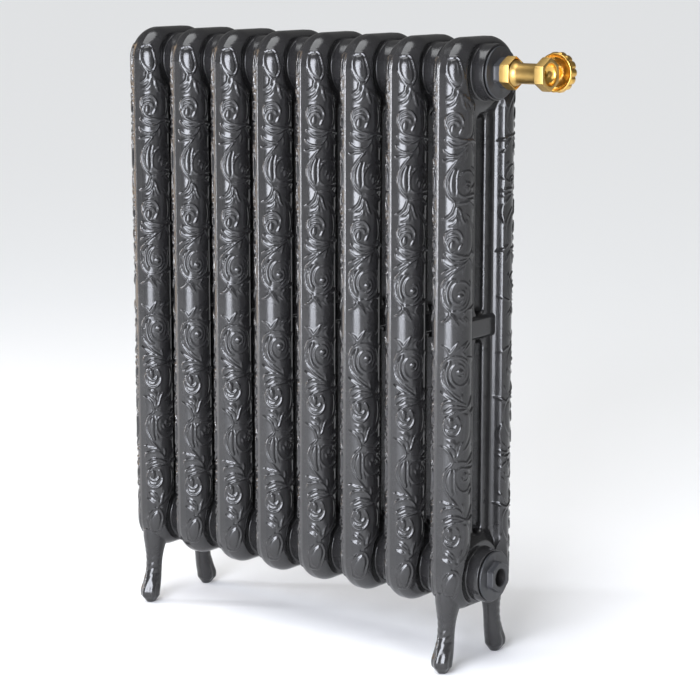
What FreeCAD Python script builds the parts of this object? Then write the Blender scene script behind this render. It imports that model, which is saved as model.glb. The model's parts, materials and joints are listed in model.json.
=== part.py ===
"""Column radiator on cast feet with an angle-wheel brass valve, one solid per real piece.

Millimetres.  +X runs along the row of sections towards the valve, +Y points to the wall, +Z is up.
The origin is the middle of the bounding box in X and Y, on the floor.
"""

import FreeCAD, Part

import math
import os

from FreeCAD import Vector

# ---- driving dimensions: the row of sections ---------------------------------------------------
section_count = 8
section_pitch = 76.0        # centre to centre, gasket included
joint_gasket_thickness = 0.8
total_height = 844.0        # floor to the top of a section
body_bottom = 82.0          # floor to the underside of a section without feet
body_depth = 143.0          # front face to back face of a column
corner_radius = 46.0        # outline corners seen from the end of the row
hub_inset = 45.0            # hub axis below the top edge and above the bottom edge

# ---- driving dimensions: one section -----------------------------------------------------------
bulb_radius = 26.8          # rounded flank of a column
face_half_width = 5.0       # plain band down the middle of the front and back
shoulder_inset = 37.0       # where the flank turns in towards the web
web_inset = 41.5            # where the flank meets the web
shoulder_half_width = 13.0  # half thickness where the flank meets the web
web_half_thickness = 11.5
bridge_half_thickness = 14.0
slot_half_width = 10.0      # air slots between the two columns
slot_edge_radius = 4.0
slot_near_offset = 16.5     # slot end nearest mid height, measured from mid height
slot_far_offset = 282.0     # slot end nearest a hub, measured from mid height
hub_pad_radius = 44.0
hub_pad_half_thickness = 18.4
hub_boss_radius = 36.5
hub_root_radius = 38.5
hub_root_taper = 3.0        # length of the root's cone for each millimetre of radius
hub_bore_radius = 20.0
casting_wall = 5.0          # iron around the waterways
header_water_radius = 13.0

# ---- driving dimensions: feet (centre behind the column face, half width in X, half width in Y, height)
foot_stations = (
    (9.5, 6.0, 6.5, 0.0),
    (8.3, 10.5, 11.0, 4.0),
    (8.3, 14.0, 15.2, 14.0),
    (12.7, 13.0, 14.2, 30.0),
    (16.5, 11.5, 12.6, 46.0),
    (18.5, 11.5, 12.6, 64.0),
)
foot_root_stations = (      # the same, with heights above the underside of the body
    (21.0, 14.5, 15.5, 4.0),
    (24.5, 19.0, 17.5, 36.0),
)
foot_loft_degree = 3

# ---- driving dimensions: joints and plugs ------------------------------------------------------
fit_clearance = 0.02        # radial gap left in every screwed joint
nipple_half_length = 15.0
nipple_wall = 4.5
nipple_lug_height = 2.5
nipple_lug_width = 6.0
joint_gasket_outer_radius = 27.0
plug_gasket_thickness = 1.0
plug_gasket_outer_radius = 30.0
plug_flange_radius = 34.0
plug_flange_thickness = 3.0
plug_thread_length = 15.0
plug_hex_length = 9.4
plug_waterway_radius = 12.06
top_bushing_flats = 35.5
bottom_bushing_flats = 38.0

# ---- driving dimensions: air vent --------------------------------------------------------------
vent_body_radius = 6.0
vent_flats = 15.0
vent_head_length = 5.0
vent_stem_length = 9.0
vent_hole_radius = 1.5
vent_nozzle_radius = 1.2
bleed_screw_radius = 3.0
bleed_screw_length = 9.0
bleed_screw_proud = 3.0
bleed_square = 4.2
bleed_seat_gap = 0.4
bleed_shoulder = 0.5        # round part left proud under the square
running_clearance = 0.05    # radial gap of every turning or sliding fit

# ---- driving dimensions: valve -----------------------------------------------------------------
valve_flats = 38.0
union_nut_length = 14.0
union_nut_chamfer_radius = 21.0
union_flare_length = 8.0
tailpiece_bore_radius = 8.0
tailpiece_grip = 12.0
tailpiece_collar_radius = 15.0
tailpiece_collar_thickness = 3.0
tailpiece_collar_recess = 2.0
tailpiece_nut_gap = 0.3     # radial gap between the tailpiece and the nut's inner flange
union_seal_thickness = 1.5
union_seal_width = 2.6
spigot_counterbore = 4.0
flare_step = 2.0            # rise of the flare over the spigot
flare_gap = 0.3             # between the nut's face and the flare
barrel_radius = 13.3
barrel_reach = 53.4         # from the bushing's face to the start of the socket hexagon
socket_hex_length = 12.9
socket_mouth_radius = 14.6
socket_mouth_depth = 3.5
socket_radius = 12.06
socket_depth = 10.0
stem_reach = 46.0           # from the bushing's face to the stem axis
chamber_radius = 9.0
seat_level = 2.0            # seat face, measured along the stem from the pipe axis
seat_port_radius = 6.0
outlet_bore_radius = 6.0
outlet_bore_offset = 5.0
inlet_bore_radius = 5.5
inlet_bore_offset = -5.5
bonnet_boss_radius = 14.0
bonnet_boss_end = 22.0
bonnet_flats = 27.0
bonnet_hex_length = 7.0
bonnet_thread_length = 4.0
bonnet_seal_thickness = 1.0
bonnet_seal_margin = 1.0
bonnet_neck_radius = 9.0
bonnet_neck_length = 5.0
gland_well_radius = 6.0
gland_well_depth = 8.0
packing_thickness = 3.0
gland_nut_radius = 8.2
gland_nut_flange_length = 2.2
stem_radius = 4.0
stem_collar_radius = 5.6
stem_collar_thickness = 1.5
stem_square = 5.0
disc_radius = 7.6
disc_height = 10.7          # washer included
disc_skirt_radius = 6.4
disc_washer_thickness = 1.5
disc_floor = 1.0
disc_rim_height = 2.0
disc_rest_gap = 0.3
valve_lift = 3.0
stem_end_gap = 0.3

# ---- driving dimensions: handwheel -------------------------------------------------------------
wheel_radius = 26.5
wheel_lobes = 14
wheel_lobe_fill = 0.62      # lobe radius over half the pitch of the lobes
wheel_lobe_start = 3.0      # lobes begin behind the smooth lip
wheel_lobe_depth = 2.0
wheel_rim_start = 40.0      # measured along the stem from the pipe axis
wheel_rim_end = 53.0
wheel_hub_radius = 7.5
wheel_hub_start = 38.0
wheel_web_thickness = 4.0
wheel_web_recess = 2.0      # web's back face under the rim's back face
wheel_lip_thickness = 3.0
wheel_lip_step = 1.0        # lip radius under the lobes
wheel_dish = 4.0            # how far the dish narrows from rim to web
wheel_screw_radius = 2.0
wheel_screw_head_radius = 4.5
wheel_screw_head_height = 2.4
wheel_screw_length = 9.0
wheel_screw_end_gap = 1.0

# ---- construction values -----------------------------------------------------------------------
overlap = 1.0               # how far a cutter or a joined piece runs past a face
tolerance = 1e-3

# ---- values worked out from the above ----------------------------------------------------------
section_half_length = (section_pitch - joint_gasket_thickness) / 2.0
half_depth = body_depth / 2.0
bulb_inset = math.sqrt(bulb_radius ** 2 - face_half_width ** 2)
hub_top = total_height - hub_inset
hub_bottom = body_bottom + hub_inset
middle_height = (total_height + body_bottom) / 2.0
row_end = (section_count - 1) / 2.0 * section_pitch + section_half_length
flange_start = row_end + plug_gasket_thickness
hex_start = flange_start + plug_flange_thickness
hex_end = hex_start + plug_hex_length
barrel_end = hex_end + barrel_reach
wheel_axis = hex_end + stem_reach
vent_end = hex_end + vent_head_length + bleed_screw_proud
shift_x = -(wheel_axis + wheel_radius - vent_end) / 2.0
column_water_radius = bulb_radius - casting_wall
column_offset = half_depth - bulb_inset
tailpiece_radius = plug_waterway_radius - fit_clearance
HUBS = (("upper", hub_top), ("lower", hub_bottom))

X_AXIS = Vector(1, 0, 0)
Y_AXIS = Vector(0, 1, 0)
Z_AXIS = Vector(0, 0, 1)


# ---- small helpers -----------------------------------------------------------------------------
def rod_x(radius, start, end, y=0.0, z=0.0):
    """A round bar along X."""
    return Part.makeCylinder(radius, end - start, Vector(start, y, z), X_AXIS)


def rod_y(radius, start, end, x=0.0, z=0.0):
    """A round bar along Y."""
    return Part.makeCylinder(radius, end - start, Vector(x, start, z), Y_AXIS)


def hexagon_x(flats, start, end, z, chamfer_radius=None):
    """A hexagonal bar along X with a corner at the top, its ends turned to chamfer_radius."""
    corner = flats / math.sqrt(3.0)
    turns = [math.radians(60 * k) for k in range(7)]
    points = [Vector(start, corner * math.sin(turn), z + corner * math.cos(turn)) for turn in turns]
    bar = Part.Face(Part.makePolygon(points)).extrude(Vector(end - start, 0, 0))
    if chamfer_radius is None:
        return bar
    length = end - start
    cone = Part.makeCone(chamfer_radius, chamfer_radius + length, length, Vector(start, 0, z), X_AXIS)
    other = Part.makeCone(chamfer_radius + length, chamfer_radius, length, Vector(start, 0, z), X_AXIS)
    return bar.common(cone).common(other) if chamfer_radius < corner else bar


def along_y(shape, x, z):
    """Turns a shape made along X about the origin to run along +Y, and carries it to (x, z)."""
    turned = shape.copy()
    turned.rotate(Vector(0, 0, 0), Z_AXIS, 90)
    turned.translate(Vector(x, 0, z))
    return turned


# ---- one casting -------------------------------------------------------------------------------
def rim_profile():
    """Half of the section's rim in the XY plane: the outer face at y = 0, the web at y = web_inset."""
    shoulder = math.sqrt(bulb_radius ** 2 - (shoulder_inset - bulb_inset) ** 2)
    right = [Vector(face_half_width, 0, 0), Vector(bulb_radius, bulb_inset, 0),
             Vector(shoulder, shoulder_inset, 0), Vector(shoulder_half_width, web_inset, 0)]
    left = [Vector(-p.x, p.y, 0) for p in right]
    edges = [Part.LineSegment(left[0], right[0]).toShape(),
             Part.Arc(right[0], right[1], right[2]).toShape(),
             Part.LineSegment(right[2], right[3]).toShape(),
             Part.LineSegment(right[3], left[3]).toShape(),
             Part.LineSegment(left[3], left[2]).toShape(),
             Part.Arc(left[2], left[1], left[0]).toShape()]
    return Part.Face(Part.Wire(edges))


def front_column():
    """The straight stretch of the front column."""
    face = rim_profile()
    face.translate(Vector(0, -half_depth, body_bottom + corner_radius))
    return face.extrude(Vector(0, 0, total_height - body_bottom - 2 * corner_radius))


def top_header():
    """The straight stretch of the rim over the top."""
    face = rim_profile()
    face.rotate(Vector(0, 0, 0), X_AXIS, -90)
    face.translate(Vector(0, -half_depth + corner_radius, total_height))
    return face.extrude(Vector(0, body_depth - 2 * corner_radius, 0))


def top_front_corner():
    """The rim turning from the front column into the top header."""
    face = rim_profile()
    face.translate(Vector(0, -half_depth, total_height - corner_radius))
    centre = Vector(0, -half_depth + corner_radius, total_height - corner_radius)
    return face.revolve(centre, X_AXIS, -90)


def web():
    """The plate between the columns with its two air slots."""
    reach = half_depth - web_inset + overlap
    low = body_bottom + web_inset - overlap
    high = total_height - web_inset + overlap
    plate = Part.makeBox(2 * web_half_thickness, 2 * reach, high - low,
                         Vector(-web_half_thickness, -reach, low))
    for side in (-1, 1):
        ends = sorted(middle_height + side * offset for offset in (slot_near_offset, slot_far_offset))
        bottom, top = ends[0] + slot_half_width, ends[1] - slot_half_width
        thick = 2 * web_half_thickness
        slot = Part.makeBox(thick, 2 * slot_half_width, top - bottom,
                            Vector(-web_half_thickness, -slot_half_width, bottom))
        for z in (bottom, top):
            slot = slot.fuse(rod_x(slot_half_width, -web_half_thickness, web_half_thickness, 0, z))
        plate = plate.cut(slot.removeSplitter())
    rims = [edge for edge in plate.Edges if is_slot_rim(edge)]
    return plate.makeFillet(slot_edge_radius, rims)


def is_slot_rim(edge):
    """True for the edges where a slot breaks through either face of the web."""
    box = edge.BoundBox
    on_face = box.XLength < tolerance and abs(abs(box.XMin) - web_half_thickness) < tolerance
    return on_face and max(abs(box.YMin), abs(box.YMax)) < slot_half_width + tolerance


def mirrored(shape, normal, at=Vector(0, 0, 0)):
    """The shape's mirror image in the plane through at."""
    return shape.mirror(at, normal)


def foot(side):
    """One foot, splayed towards side (-1 front, +1 back), from the sole up into the column."""
    stations = foot_stations + tuple((setback, half_x, half_y, body_bottom + rise)
                                     for setback, half_x, half_y, rise in foot_root_stations)
    rings = []
    for setback, half_x, half_y, z in stations:
        squash = FreeCAD.Matrix()
        squash.scale(half_x, half_y, 1.0)
        ring = Part.Circle().toShape().transformGeometry(squash)
        rings.append(Part.Wire([ring.translated(Vector(0, side * (half_depth - setback), z))]))
    return Part.makeLoft(rings, True, False, False, foot_loft_degree)


def column_waterway(side):
    """The round hollow of one column, flat where it nears the web, with a narrow leaf into the web."""
    y = side * column_offset
    round_part = Part.makeCylinder(column_water_radius, hub_top - hub_bottom, Vector(0, y, hub_bottom))
    for z in (hub_top, hub_bottom):
        round_part = round_part.fuse(Part.makeSphere(column_water_radius, Vector(0, y, z)))
    inner_limit = half_depth - web_inset + casting_wall / 2.0
    reach = 2 * column_water_radius
    height = hub_top - hub_bottom + reach
    keep_out = Part.makeBox(reach, 2 * inner_limit, height,
                            Vector(-column_water_radius, -inner_limit, hub_bottom - column_water_radius))
    leaf_half = web_half_thickness - casting_wall
    leaf_from = slot_half_width + casting_wall
    leaf = Part.makeBox(2 * leaf_half, column_offset - leaf_from, hub_top - hub_bottom,
                        Vector(-leaf_half, leaf_from if side > 0 else -column_offset, hub_bottom))
    return round_part.cut(keep_out).fuse(leaf)


def waterways():
    """Everything hollow inside a casting: hub bores, headers and the two columns."""
    parts = []
    for z in (hub_top, hub_bottom):
        parts.append(rod_x(hub_bore_radius, -section_half_length, section_half_length, 0, z))
        parts.append(rod_y(header_water_radius, -column_offset, column_offset, 0, z))
    parts += [column_waterway(-1), column_waterway(1)]
    return parts[0].multiFuse(parts[1:]).removeSplitter()


def casting(with_feet):
    """One section, centred on X = 0, with or without its pair of feet."""
    middle = Vector(0, 0, middle_height)
    column = front_column()
    header = top_header()
    corner = top_front_corner()
    back_corner = mirrored(corner, Y_AXIS)
    pieces = [column, mirrored(column, Y_AXIS), header, mirrored(header, Z_AXIS, middle), corner,
              back_corner, mirrored(corner, Z_AXIS, middle), mirrored(back_corner, Z_AXIS, middle), web()]
    bridge_half_height = slot_near_offset - slot_edge_radius
    bridge_reach = half_depth - web_inset
    pieces.append(Part.makeBox(2 * bridge_half_thickness, 2 * bridge_reach, 2 * bridge_half_height,
                               Vector(-bridge_half_thickness, -bridge_reach,
                                      middle_height - bridge_half_height)))
    for z in (hub_top, hub_bottom):
        pieces.append(rod_x(hub_pad_radius, -hub_pad_half_thickness, hub_pad_half_thickness, 0, z))
        pieces.append(rod_x(hub_boss_radius, -section_half_length, section_half_length, 0, z))
        root = hub_root_radius - hub_boss_radius
        for side in (-1, 1):
            pieces.append(Part.makeCone(hub_root_radius, hub_boss_radius, hub_root_taper * root,
                                        Vector(side * hub_pad_half_thickness, 0, z), Vector(side, 0, 0)))
    if with_feet:
        pieces += [foot(-1), foot(1)]
    body = pieces[0].multiFuse(pieces[1:]).removeSplitter()
    return body.cut(waterways())


def section_centre(index):
    """X of a section's middle, counted from the blind end."""
    return (index - (section_count - 1) / 2.0) * section_pitch


def sections():
    """Every casting of the row; only the two end ones stand on feet."""
    plain = casting(False)
    footed = casting(True)
    made = {}
    for index in range(section_count):
        shape = (footed if index in (0, section_count - 1) else plain).copy()
        shape.translate(Vector(section_centre(index), 0, 0))
        made["section_%d" % (index + 1)] = shape
    return made


# ---- joints between sections -------------------------------------------------------------------
def nipple(z):
    """A screwed nipple centred on X = 0, with the two lugs that its key turns."""
    outer = rod_x(hub_bore_radius - fit_clearance, -nipple_half_length, nipple_half_length, 0, z)
    bore = hub_bore_radius - nipple_wall
    tube = outer.cut(rod_x(bore, -nipple_half_length, nipple_half_length, 0, z))
    for side in (-1, 1):
        base = bore - nipple_lug_height
        height = nipple_lug_height + overlap
        low = z + base if side > 0 else z - base - height
        tube = tube.fuse(Part.makeBox(2 * nipple_half_length, nipple_lug_width, height,
                                      Vector(-nipple_half_length, -nipple_lug_width / 2, low)))
    return tube.removeSplitter()


def ring_x(outer, inner, start, end, z):
    """A flat ring along X."""
    return rod_x(outer, start, end, 0, z).cut(rod_x(inner, start, end, 0, z))


def joints():
    """The nipples and the gaskets between neighbouring sections."""
    made = {}
    for level, z in HUBS:
        gaskets = []
        for index in range(section_count - 1):
            x = section_centre(index) + section_pitch / 2.0
            piece = nipple(z)
            piece.translate(Vector(x, 0, 0))
            made["%s_nipple_%d" % (level, index + 1)] = piece
            half = joint_gasket_thickness / 2.0
            gaskets.append(ring_x(joint_gasket_outer_radius, hub_bore_radius + fit_clearance,
                                  x - half, x + half, z))
        made["%s_section_gaskets" % level] = Part.makeCompound(gaskets)
    return made


# ---- plugs and bushings ------------------------------------------------------------------------
def plug(z, flats):
    """A flanged hexagon plug for the right end of a hub, still solid."""
    thread = rod_x(hub_bore_radius - fit_clearance, row_end - plug_thread_length, flange_start, 0, z)
    flange = rod_x(plug_flange_radius, flange_start, hex_start, 0, z)
    head = hexagon_x(flats, hex_start, hex_end, z)
    return thread.fuse([flange, head]).removeSplitter()


def plug_gasket(z):
    """The ring under a right-hand plug's flange."""
    return ring_x(plug_gasket_outer_radius, hub_bore_radius + fit_clearance, row_end, flange_start, z)


def plugs():
    """Bushings at the valve end; a blind plug and an air-vent plug at the other end."""
    through = rod_x(plug_waterway_radius, row_end - plug_thread_length, hex_end)
    blind = rod_x(plug_waterway_radius, row_end - plug_thread_length, flange_start)
    made = {}
    for name, z, flats in (("top_bushing", hub_top, top_bushing_flats),
                           ("bottom_bushing", hub_bottom, bottom_bushing_flats)):
        made[name] = plug(z, flats).cut(through.translated(Vector(0, 0, z)))
        made[name + "_gasket"] = plug_gasket(z)
    vent_hole = rod_x(vent_body_radius + fit_clearance, flange_start, hex_end, 0, hub_top)
    vent_plug = plug(hub_top, top_bushing_flats).cut(blind.translated(Vector(0, 0, hub_top))).cut(vent_hole)
    blind_plug = plug(hub_bottom, bottom_bushing_flats).cut(blind.translated(Vector(0, 0, hub_bottom)))
    made["vent_plug"] = mirrored(vent_plug, X_AXIS)
    made["blind_plug"] = mirrored(blind_plug, X_AXIS)
    made["vent_plug_gasket"] = mirrored(plug_gasket(hub_top), X_AXIS)
    made["blind_plug_gasket"] = mirrored(plug_gasket(hub_bottom), X_AXIS)
    return made


def air_vent():
    """The brass air vent and its square-headed bleed screw, made for the right end and mirrored."""
    z = hub_top
    stem = rod_x(vent_body_radius, hex_end - vent_stem_length, hex_end, 0, z)
    head = hexagon_x(vent_flats, hex_end, hex_end + vent_head_length, z)
    end = hex_end + vent_head_length
    screw_well = rod_x(bleed_screw_radius + running_clearance, end - bleed_screw_length, end, 0, z)
    way_in = rod_x(vent_hole_radius, hex_end - vent_stem_length, end, 0, z)
    nozzle = Part.makeCylinder(vent_nozzle_radius, vent_flats,
                               Vector(hex_end + vent_head_length / 2, 0, z), -Z_AXIS)
    body = stem.fuse(head).removeSplitter().cut(screw_well).cut(way_in).cut(nozzle)
    shoulder = end + bleed_shoulder
    screw = rod_x(bleed_screw_radius, end - bleed_screw_length + bleed_seat_gap, shoulder, 0, z)
    half = bleed_square / 2.0
    square = Part.makeBox(bleed_screw_proud - bleed_shoulder, bleed_square, bleed_square,
                          Vector(shoulder, -half, z - half))
    return {"air_vent": mirrored(body, X_AXIS),
            "bleed_screw": mirrored(screw.fuse(square).removeSplitter(), X_AXIS)}


# ---- valve -------------------------------------------------------------------------------------
def valve_pipework():
    """Tailpiece, union seal and union nut between the top bushing and the valve body."""
    z = hub_top
    nut_start = hex_end
    collar_start = nut_start + tailpiece_collar_recess
    collar_end = collar_start + tailpiece_collar_thickness
    tail = rod_x(tailpiece_radius, hex_end - tailpiece_grip, collar_start, 0, z)
    tail = tail.fuse(rod_x(tailpiece_collar_radius, collar_start, collar_end, 0, z)).removeSplitter()
    tail = tail.cut(rod_x(tailpiece_bore_radius, hex_end - tailpiece_grip, collar_end, 0, z))
    seal_end = collar_end + union_seal_thickness
    seal = ring_x(tailpiece_bore_radius + union_seal_width, tailpiece_bore_radius, collar_end, seal_end, z)
    nut_end = nut_start + union_nut_length
    nut = hexagon_x(valve_flats, nut_start, nut_end, z, union_nut_chamfer_radius)
    nut = nut.cut(rod_x(tailpiece_radius + tailpiece_nut_gap, nut_start, nut_end, 0, z))
    nut = nut.cut(rod_x(tailpiece_collar_radius + fit_clearance, collar_start, nut_end, 0, z))
    return {"tailpiece": tail, "union_seal": seal, "union_nut": nut}


def union_face():
    """X of the valve body's face against the union seal."""
    return hex_end + tailpiece_collar_recess + tailpiece_collar_thickness + union_seal_thickness


def valve_body():
    """Straight globe body: screwed spigot, flare, barrel, hexagon socket and bonnet boss."""
    z = hub_top
    nut_end = hex_end + union_nut_length
    flare_end = nut_end + union_flare_length
    socket_end = barrel_end + socket_hex_length
    spigot_radius = tailpiece_collar_radius
    spigot = rod_x(spigot_radius, union_face(), nut_end, 0, z)
    flare = Part.makeCone(spigot_radius + flare_step, barrel_radius, union_flare_length,
                          Vector(nut_end + flare_gap, 0, z), X_AXIS)
    neck = rod_x(spigot_radius, nut_end, nut_end + flare_gap, 0, z)
    barrel = rod_x(barrel_radius, flare_end, barrel_end, 0, z)
    socket = hexagon_x(valve_flats, barrel_end, socket_end, z)
    boss = rod_y(bonnet_boss_radius, 0, bonnet_boss_end, wheel_axis, z)
    body = spigot.multiFuse([flare, neck, barrel, socket, boss]).removeSplitter()
    thread_top = bonnet_boss_end + overlap
    hollow = [
        rod_x(outlet_bore_radius, union_face() - overlap, wheel_axis, outlet_bore_offset, z),
        rod_x(tailpiece_bore_radius, union_face() - overlap, union_face() + spigot_counterbore, 0, z),
        rod_y(chamber_radius, seat_level, thread_top, wheel_axis, z),
        rod_y(seat_port_radius, inlet_bore_offset, seat_level, wheel_axis, z),
        rod_x(inlet_bore_radius, wheel_axis, socket_end, inlet_bore_offset, z),
        rod_x(socket_radius, socket_end - socket_depth, socket_end, 0, z),
        Part.makeCone(socket_radius, socket_mouth_radius, socket_mouth_depth,
                      Vector(socket_end - socket_mouth_depth, 0, z), X_AXIS),
    ]
    for piece in hollow:
        body = body.cut(piece)
    return {"valve_body": body}


def bonnet_levels():
    """Stations along the stem: bonnet seat, hexagon end, neck end."""
    hex_from = bonnet_boss_end + bonnet_seal_thickness
    hex_to = hex_from + bonnet_hex_length
    return hex_from, hex_to, hex_to + bonnet_neck_length


def bonnet():
    """Screwed bonnet with the gland well, its seal, the packing and the gland nut."""
    z = hub_top
    hex_from, hex_to, neck_to = bonnet_levels()
    start = bonnet_boss_end - bonnet_thread_length
    thread = rod_y(chamber_radius - fit_clearance, start, hex_from, wheel_axis, z)
    head = along_y(hexagon_x(bonnet_flats, hex_from, hex_to, 0), wheel_axis, z)
    neck = rod_y(bonnet_neck_radius, hex_to, neck_to, wheel_axis, z)
    shell = thread.multiFuse([head, neck]).removeSplitter()
    shell = shell.cut(rod_y(stem_radius + running_clearance, start, neck_to, wheel_axis, z))
    shell = shell.cut(rod_y(gland_well_radius, neck_to - gland_well_depth, neck_to, wheel_axis, z))
    packing_from = neck_to - gland_well_depth
    packing_to = packing_from + packing_thickness
    packing = rod_y(gland_well_radius - fit_clearance, packing_from, packing_to, wheel_axis, z)
    packing = packing.cut(rod_y(stem_radius + running_clearance, packing_from, packing_to, wheel_axis, z))
    nut = rod_y(gland_well_radius - fit_clearance, packing_to, neck_to, wheel_axis, z)
    nut_to = neck_to + gland_nut_flange_length
    nut = nut.fuse(rod_y(gland_nut_radius, neck_to, nut_to, wheel_axis, z)).removeSplitter()
    nut = nut.cut(rod_y(stem_radius + running_clearance, packing_to, nut_to, wheel_axis, z))
    seal = rod_y(bonnet_boss_radius - bonnet_seal_margin, bonnet_boss_end, hex_from, wheel_axis, z)
    seal = seal.cut(rod_y(chamber_radius + fit_clearance, bonnet_boss_end, hex_from, wheel_axis, z))
    return {"bonnet": shell, "gland_packing": packing, "gland_nut": nut, "bonnet_seal": seal}


def moving_pieces():
    """Stem, valve disc with its washer, handwheel and wheel screw."""
    z = hub_top
    washer_from = seat_level + disc_rest_gap
    disc_from = washer_from + disc_washer_thickness
    disc_to = disc_from + disc_height - disc_washer_thickness
    washer = rod_y(disc_radius, washer_from, disc_from, wheel_axis, z)
    disc = rod_y(disc_skirt_radius, disc_from, disc_to, wheel_axis, z)
    rim = rod_y(disc_radius, disc_from, disc_from + disc_rim_height, wheel_axis, z)
    disc = disc.fuse(rim).removeSplitter()
    disc = disc.cut(rod_y(stem_radius + running_clearance, disc_from + disc_floor, disc_to, wheel_axis, z))

    collar_to = bonnet_boss_end - bonnet_thread_length - running_clearance
    collar_from = collar_to - stem_collar_thickness
    stem_from = disc_from + disc_floor + valve_lift + stem_end_gap
    hub_from = wheel_hub_start
    stem = rod_y(stem_radius, stem_from, hub_from, wheel_axis, z)
    stem = stem.fuse(rod_y(stem_collar_radius, collar_from, collar_to, wheel_axis, z))
    half = stem_square / 2.0
    web_to = wheel_rim_end - wheel_web_recess
    square = Part.makeBox(stem_square, web_to - hub_from, stem_square,
                          Vector(wheel_axis - half, hub_from, z - half))
    stem = stem.fuse(square).removeSplitter()
    stem = stem.cut(rod_y(wheel_screw_radius + fit_clearance, web_to - wheel_screw_length, web_to,
                          wheel_axis, z))

    screw_from = web_to - wheel_screw_length + wheel_screw_end_gap
    screw = rod_y(wheel_screw_radius, screw_from, web_to, wheel_axis, z)
    screw = screw.fuse(rod_y(wheel_screw_head_radius, web_to, web_to + wheel_screw_head_height,
                             wheel_axis, z))
    return {"disc_washer": washer, "valve_disc": disc, "stem": stem, "wheel_screw": screw.removeSplitter(),
            "handwheel": handwheel(web_to)}


def handwheel(web_to):
    """Dished handwheel: smooth inner lip, rounded lobes round the back of the rim."""
    z = hub_top
    lobe_radius = math.pi * wheel_radius / wheel_lobes * wheel_lobe_fill
    lobe_circle = wheel_radius - lobe_radius
    inner = wheel_radius - wheel_lip_thickness - wheel_lobe_depth
    dish_wide, dish_narrow = inner + wheel_lip_step, inner + wheel_lip_step - wheel_dish
    hub = rod_y(wheel_hub_radius, wheel_hub_start, web_to, wheel_axis, z)
    web_plate = rod_y(dish_wide, web_to - wheel_web_thickness, web_to, wheel_axis, z)
    lip = rod_y(wheel_radius - wheel_lip_step, wheel_rim_start, wheel_rim_end, wheel_axis, z)
    dish = Part.makeCone(dish_wide, dish_narrow, web_to - wheel_web_thickness - wheel_rim_start,
                         Vector(wheel_axis, wheel_rim_start, z), Y_AXIS)
    back = Part.makeCone(dish_narrow, dish_wide, wheel_rim_end - web_to,
                         Vector(wheel_axis, web_to, z), Y_AXIS)
    wheel = lip.cut(dish).cut(back)
    lobes = []
    for index in range(wheel_lobes):
        angle = 2 * math.pi * index / wheel_lobes
        lobes.append(rod_y(lobe_radius, wheel_rim_start + wheel_lobe_start, wheel_rim_end,
                           wheel_axis + lobe_circle * math.cos(angle), z + lobe_circle * math.sin(angle)))
    core = rod_y(inner, wheel_rim_start, wheel_rim_end, wheel_axis, z)
    crown = lobes[0].multiFuse(lobes[1:]).cut(core)
    wheel = wheel.multiFuse([crown, hub, web_plate]).removeSplitter()
    half = stem_square / 2.0 + fit_clearance
    return wheel.cut(Part.makeBox(2 * half, web_to - wheel_hub_start, 2 * half,
                                  Vector(wheel_axis - half, wheel_hub_start, z - half)))


# ---- write one file per piece ------------------------------------------------------------------
def main():
    """Builds every piece, carries it into the part's frame and writes its STEP file."""
    os.makedirs("parts", exist_ok=True)
    pieces = {}
    for group in (sections(), joints(), plugs(), air_vent(), valve_pipework(), valve_body(), bonnet(),
                  moving_pieces()):
        pieces.update(group)
    for name, shape in pieces.items():
        placed = shape.translated(Vector(shift_x, 0, 0))
        placed.exportStep(os.path.join("parts", name + ".step"))
        print("%-24s valid %s, %d solids" % (name, placed.isValid(), len(placed.Solids)))
    print("%d pieces, shift %.3f" % (len(pieces), shift_x))


main()
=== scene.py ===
"""Looks of a cast-iron column radiator with a brass valve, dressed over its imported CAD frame.

Lengths inside the classes are millimetres; the Mesh builder turns them into metres once, when it
makes an object.  +X runs along the row of sections to the valve, +Y to the wall, +Z up.
"""

import json  # noqa: E402
import logging  # noqa: E402
import math  # noqa: E402
from dataclasses import dataclass, field  # noqa: E402
from enum import Enum  # noqa: E402
from typing import Callable, Dict, List, Optional, Sequence, Tuple  # noqa: E402

import bpy  # noqa: E402
import bmesh  # noqa: E402
import numpy as np  # noqa: E402
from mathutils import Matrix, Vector  # noqa: E402

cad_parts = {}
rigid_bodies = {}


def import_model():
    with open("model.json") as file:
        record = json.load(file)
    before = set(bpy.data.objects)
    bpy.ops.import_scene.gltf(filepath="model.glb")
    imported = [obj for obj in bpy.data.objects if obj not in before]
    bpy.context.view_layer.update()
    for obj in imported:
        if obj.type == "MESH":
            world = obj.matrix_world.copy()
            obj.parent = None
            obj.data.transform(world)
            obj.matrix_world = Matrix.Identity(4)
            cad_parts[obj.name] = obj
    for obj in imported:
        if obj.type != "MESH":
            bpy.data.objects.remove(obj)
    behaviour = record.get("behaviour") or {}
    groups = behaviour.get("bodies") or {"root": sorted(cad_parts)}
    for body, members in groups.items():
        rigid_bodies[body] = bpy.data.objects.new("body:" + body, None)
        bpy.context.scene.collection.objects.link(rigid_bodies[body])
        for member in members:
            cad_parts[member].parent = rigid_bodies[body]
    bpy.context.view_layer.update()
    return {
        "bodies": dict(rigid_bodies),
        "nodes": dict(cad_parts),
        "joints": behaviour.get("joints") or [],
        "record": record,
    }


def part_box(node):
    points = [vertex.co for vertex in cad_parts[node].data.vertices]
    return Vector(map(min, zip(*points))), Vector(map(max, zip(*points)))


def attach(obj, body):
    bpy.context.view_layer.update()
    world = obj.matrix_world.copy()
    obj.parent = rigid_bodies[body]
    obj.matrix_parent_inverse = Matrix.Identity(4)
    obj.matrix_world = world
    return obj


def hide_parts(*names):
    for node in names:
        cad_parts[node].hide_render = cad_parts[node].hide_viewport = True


LOG = logging.getLogger("radiator")
MM = 0.001
Point2 = Tuple[float, float]
Array = np.ndarray


# ------------------------------------------------------------------------------------- small maths
def smoothstep(value: Array) -> Array:
    """Eases 0..1.

    Args:
        value: Any numbers; they are clipped to 0..1.

    Returns:
        The eased numbers.
    """
    t = np.clip(value, 0.0, 1.0)
    return t * t * (3.0 - 2.0 * t)


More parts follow.
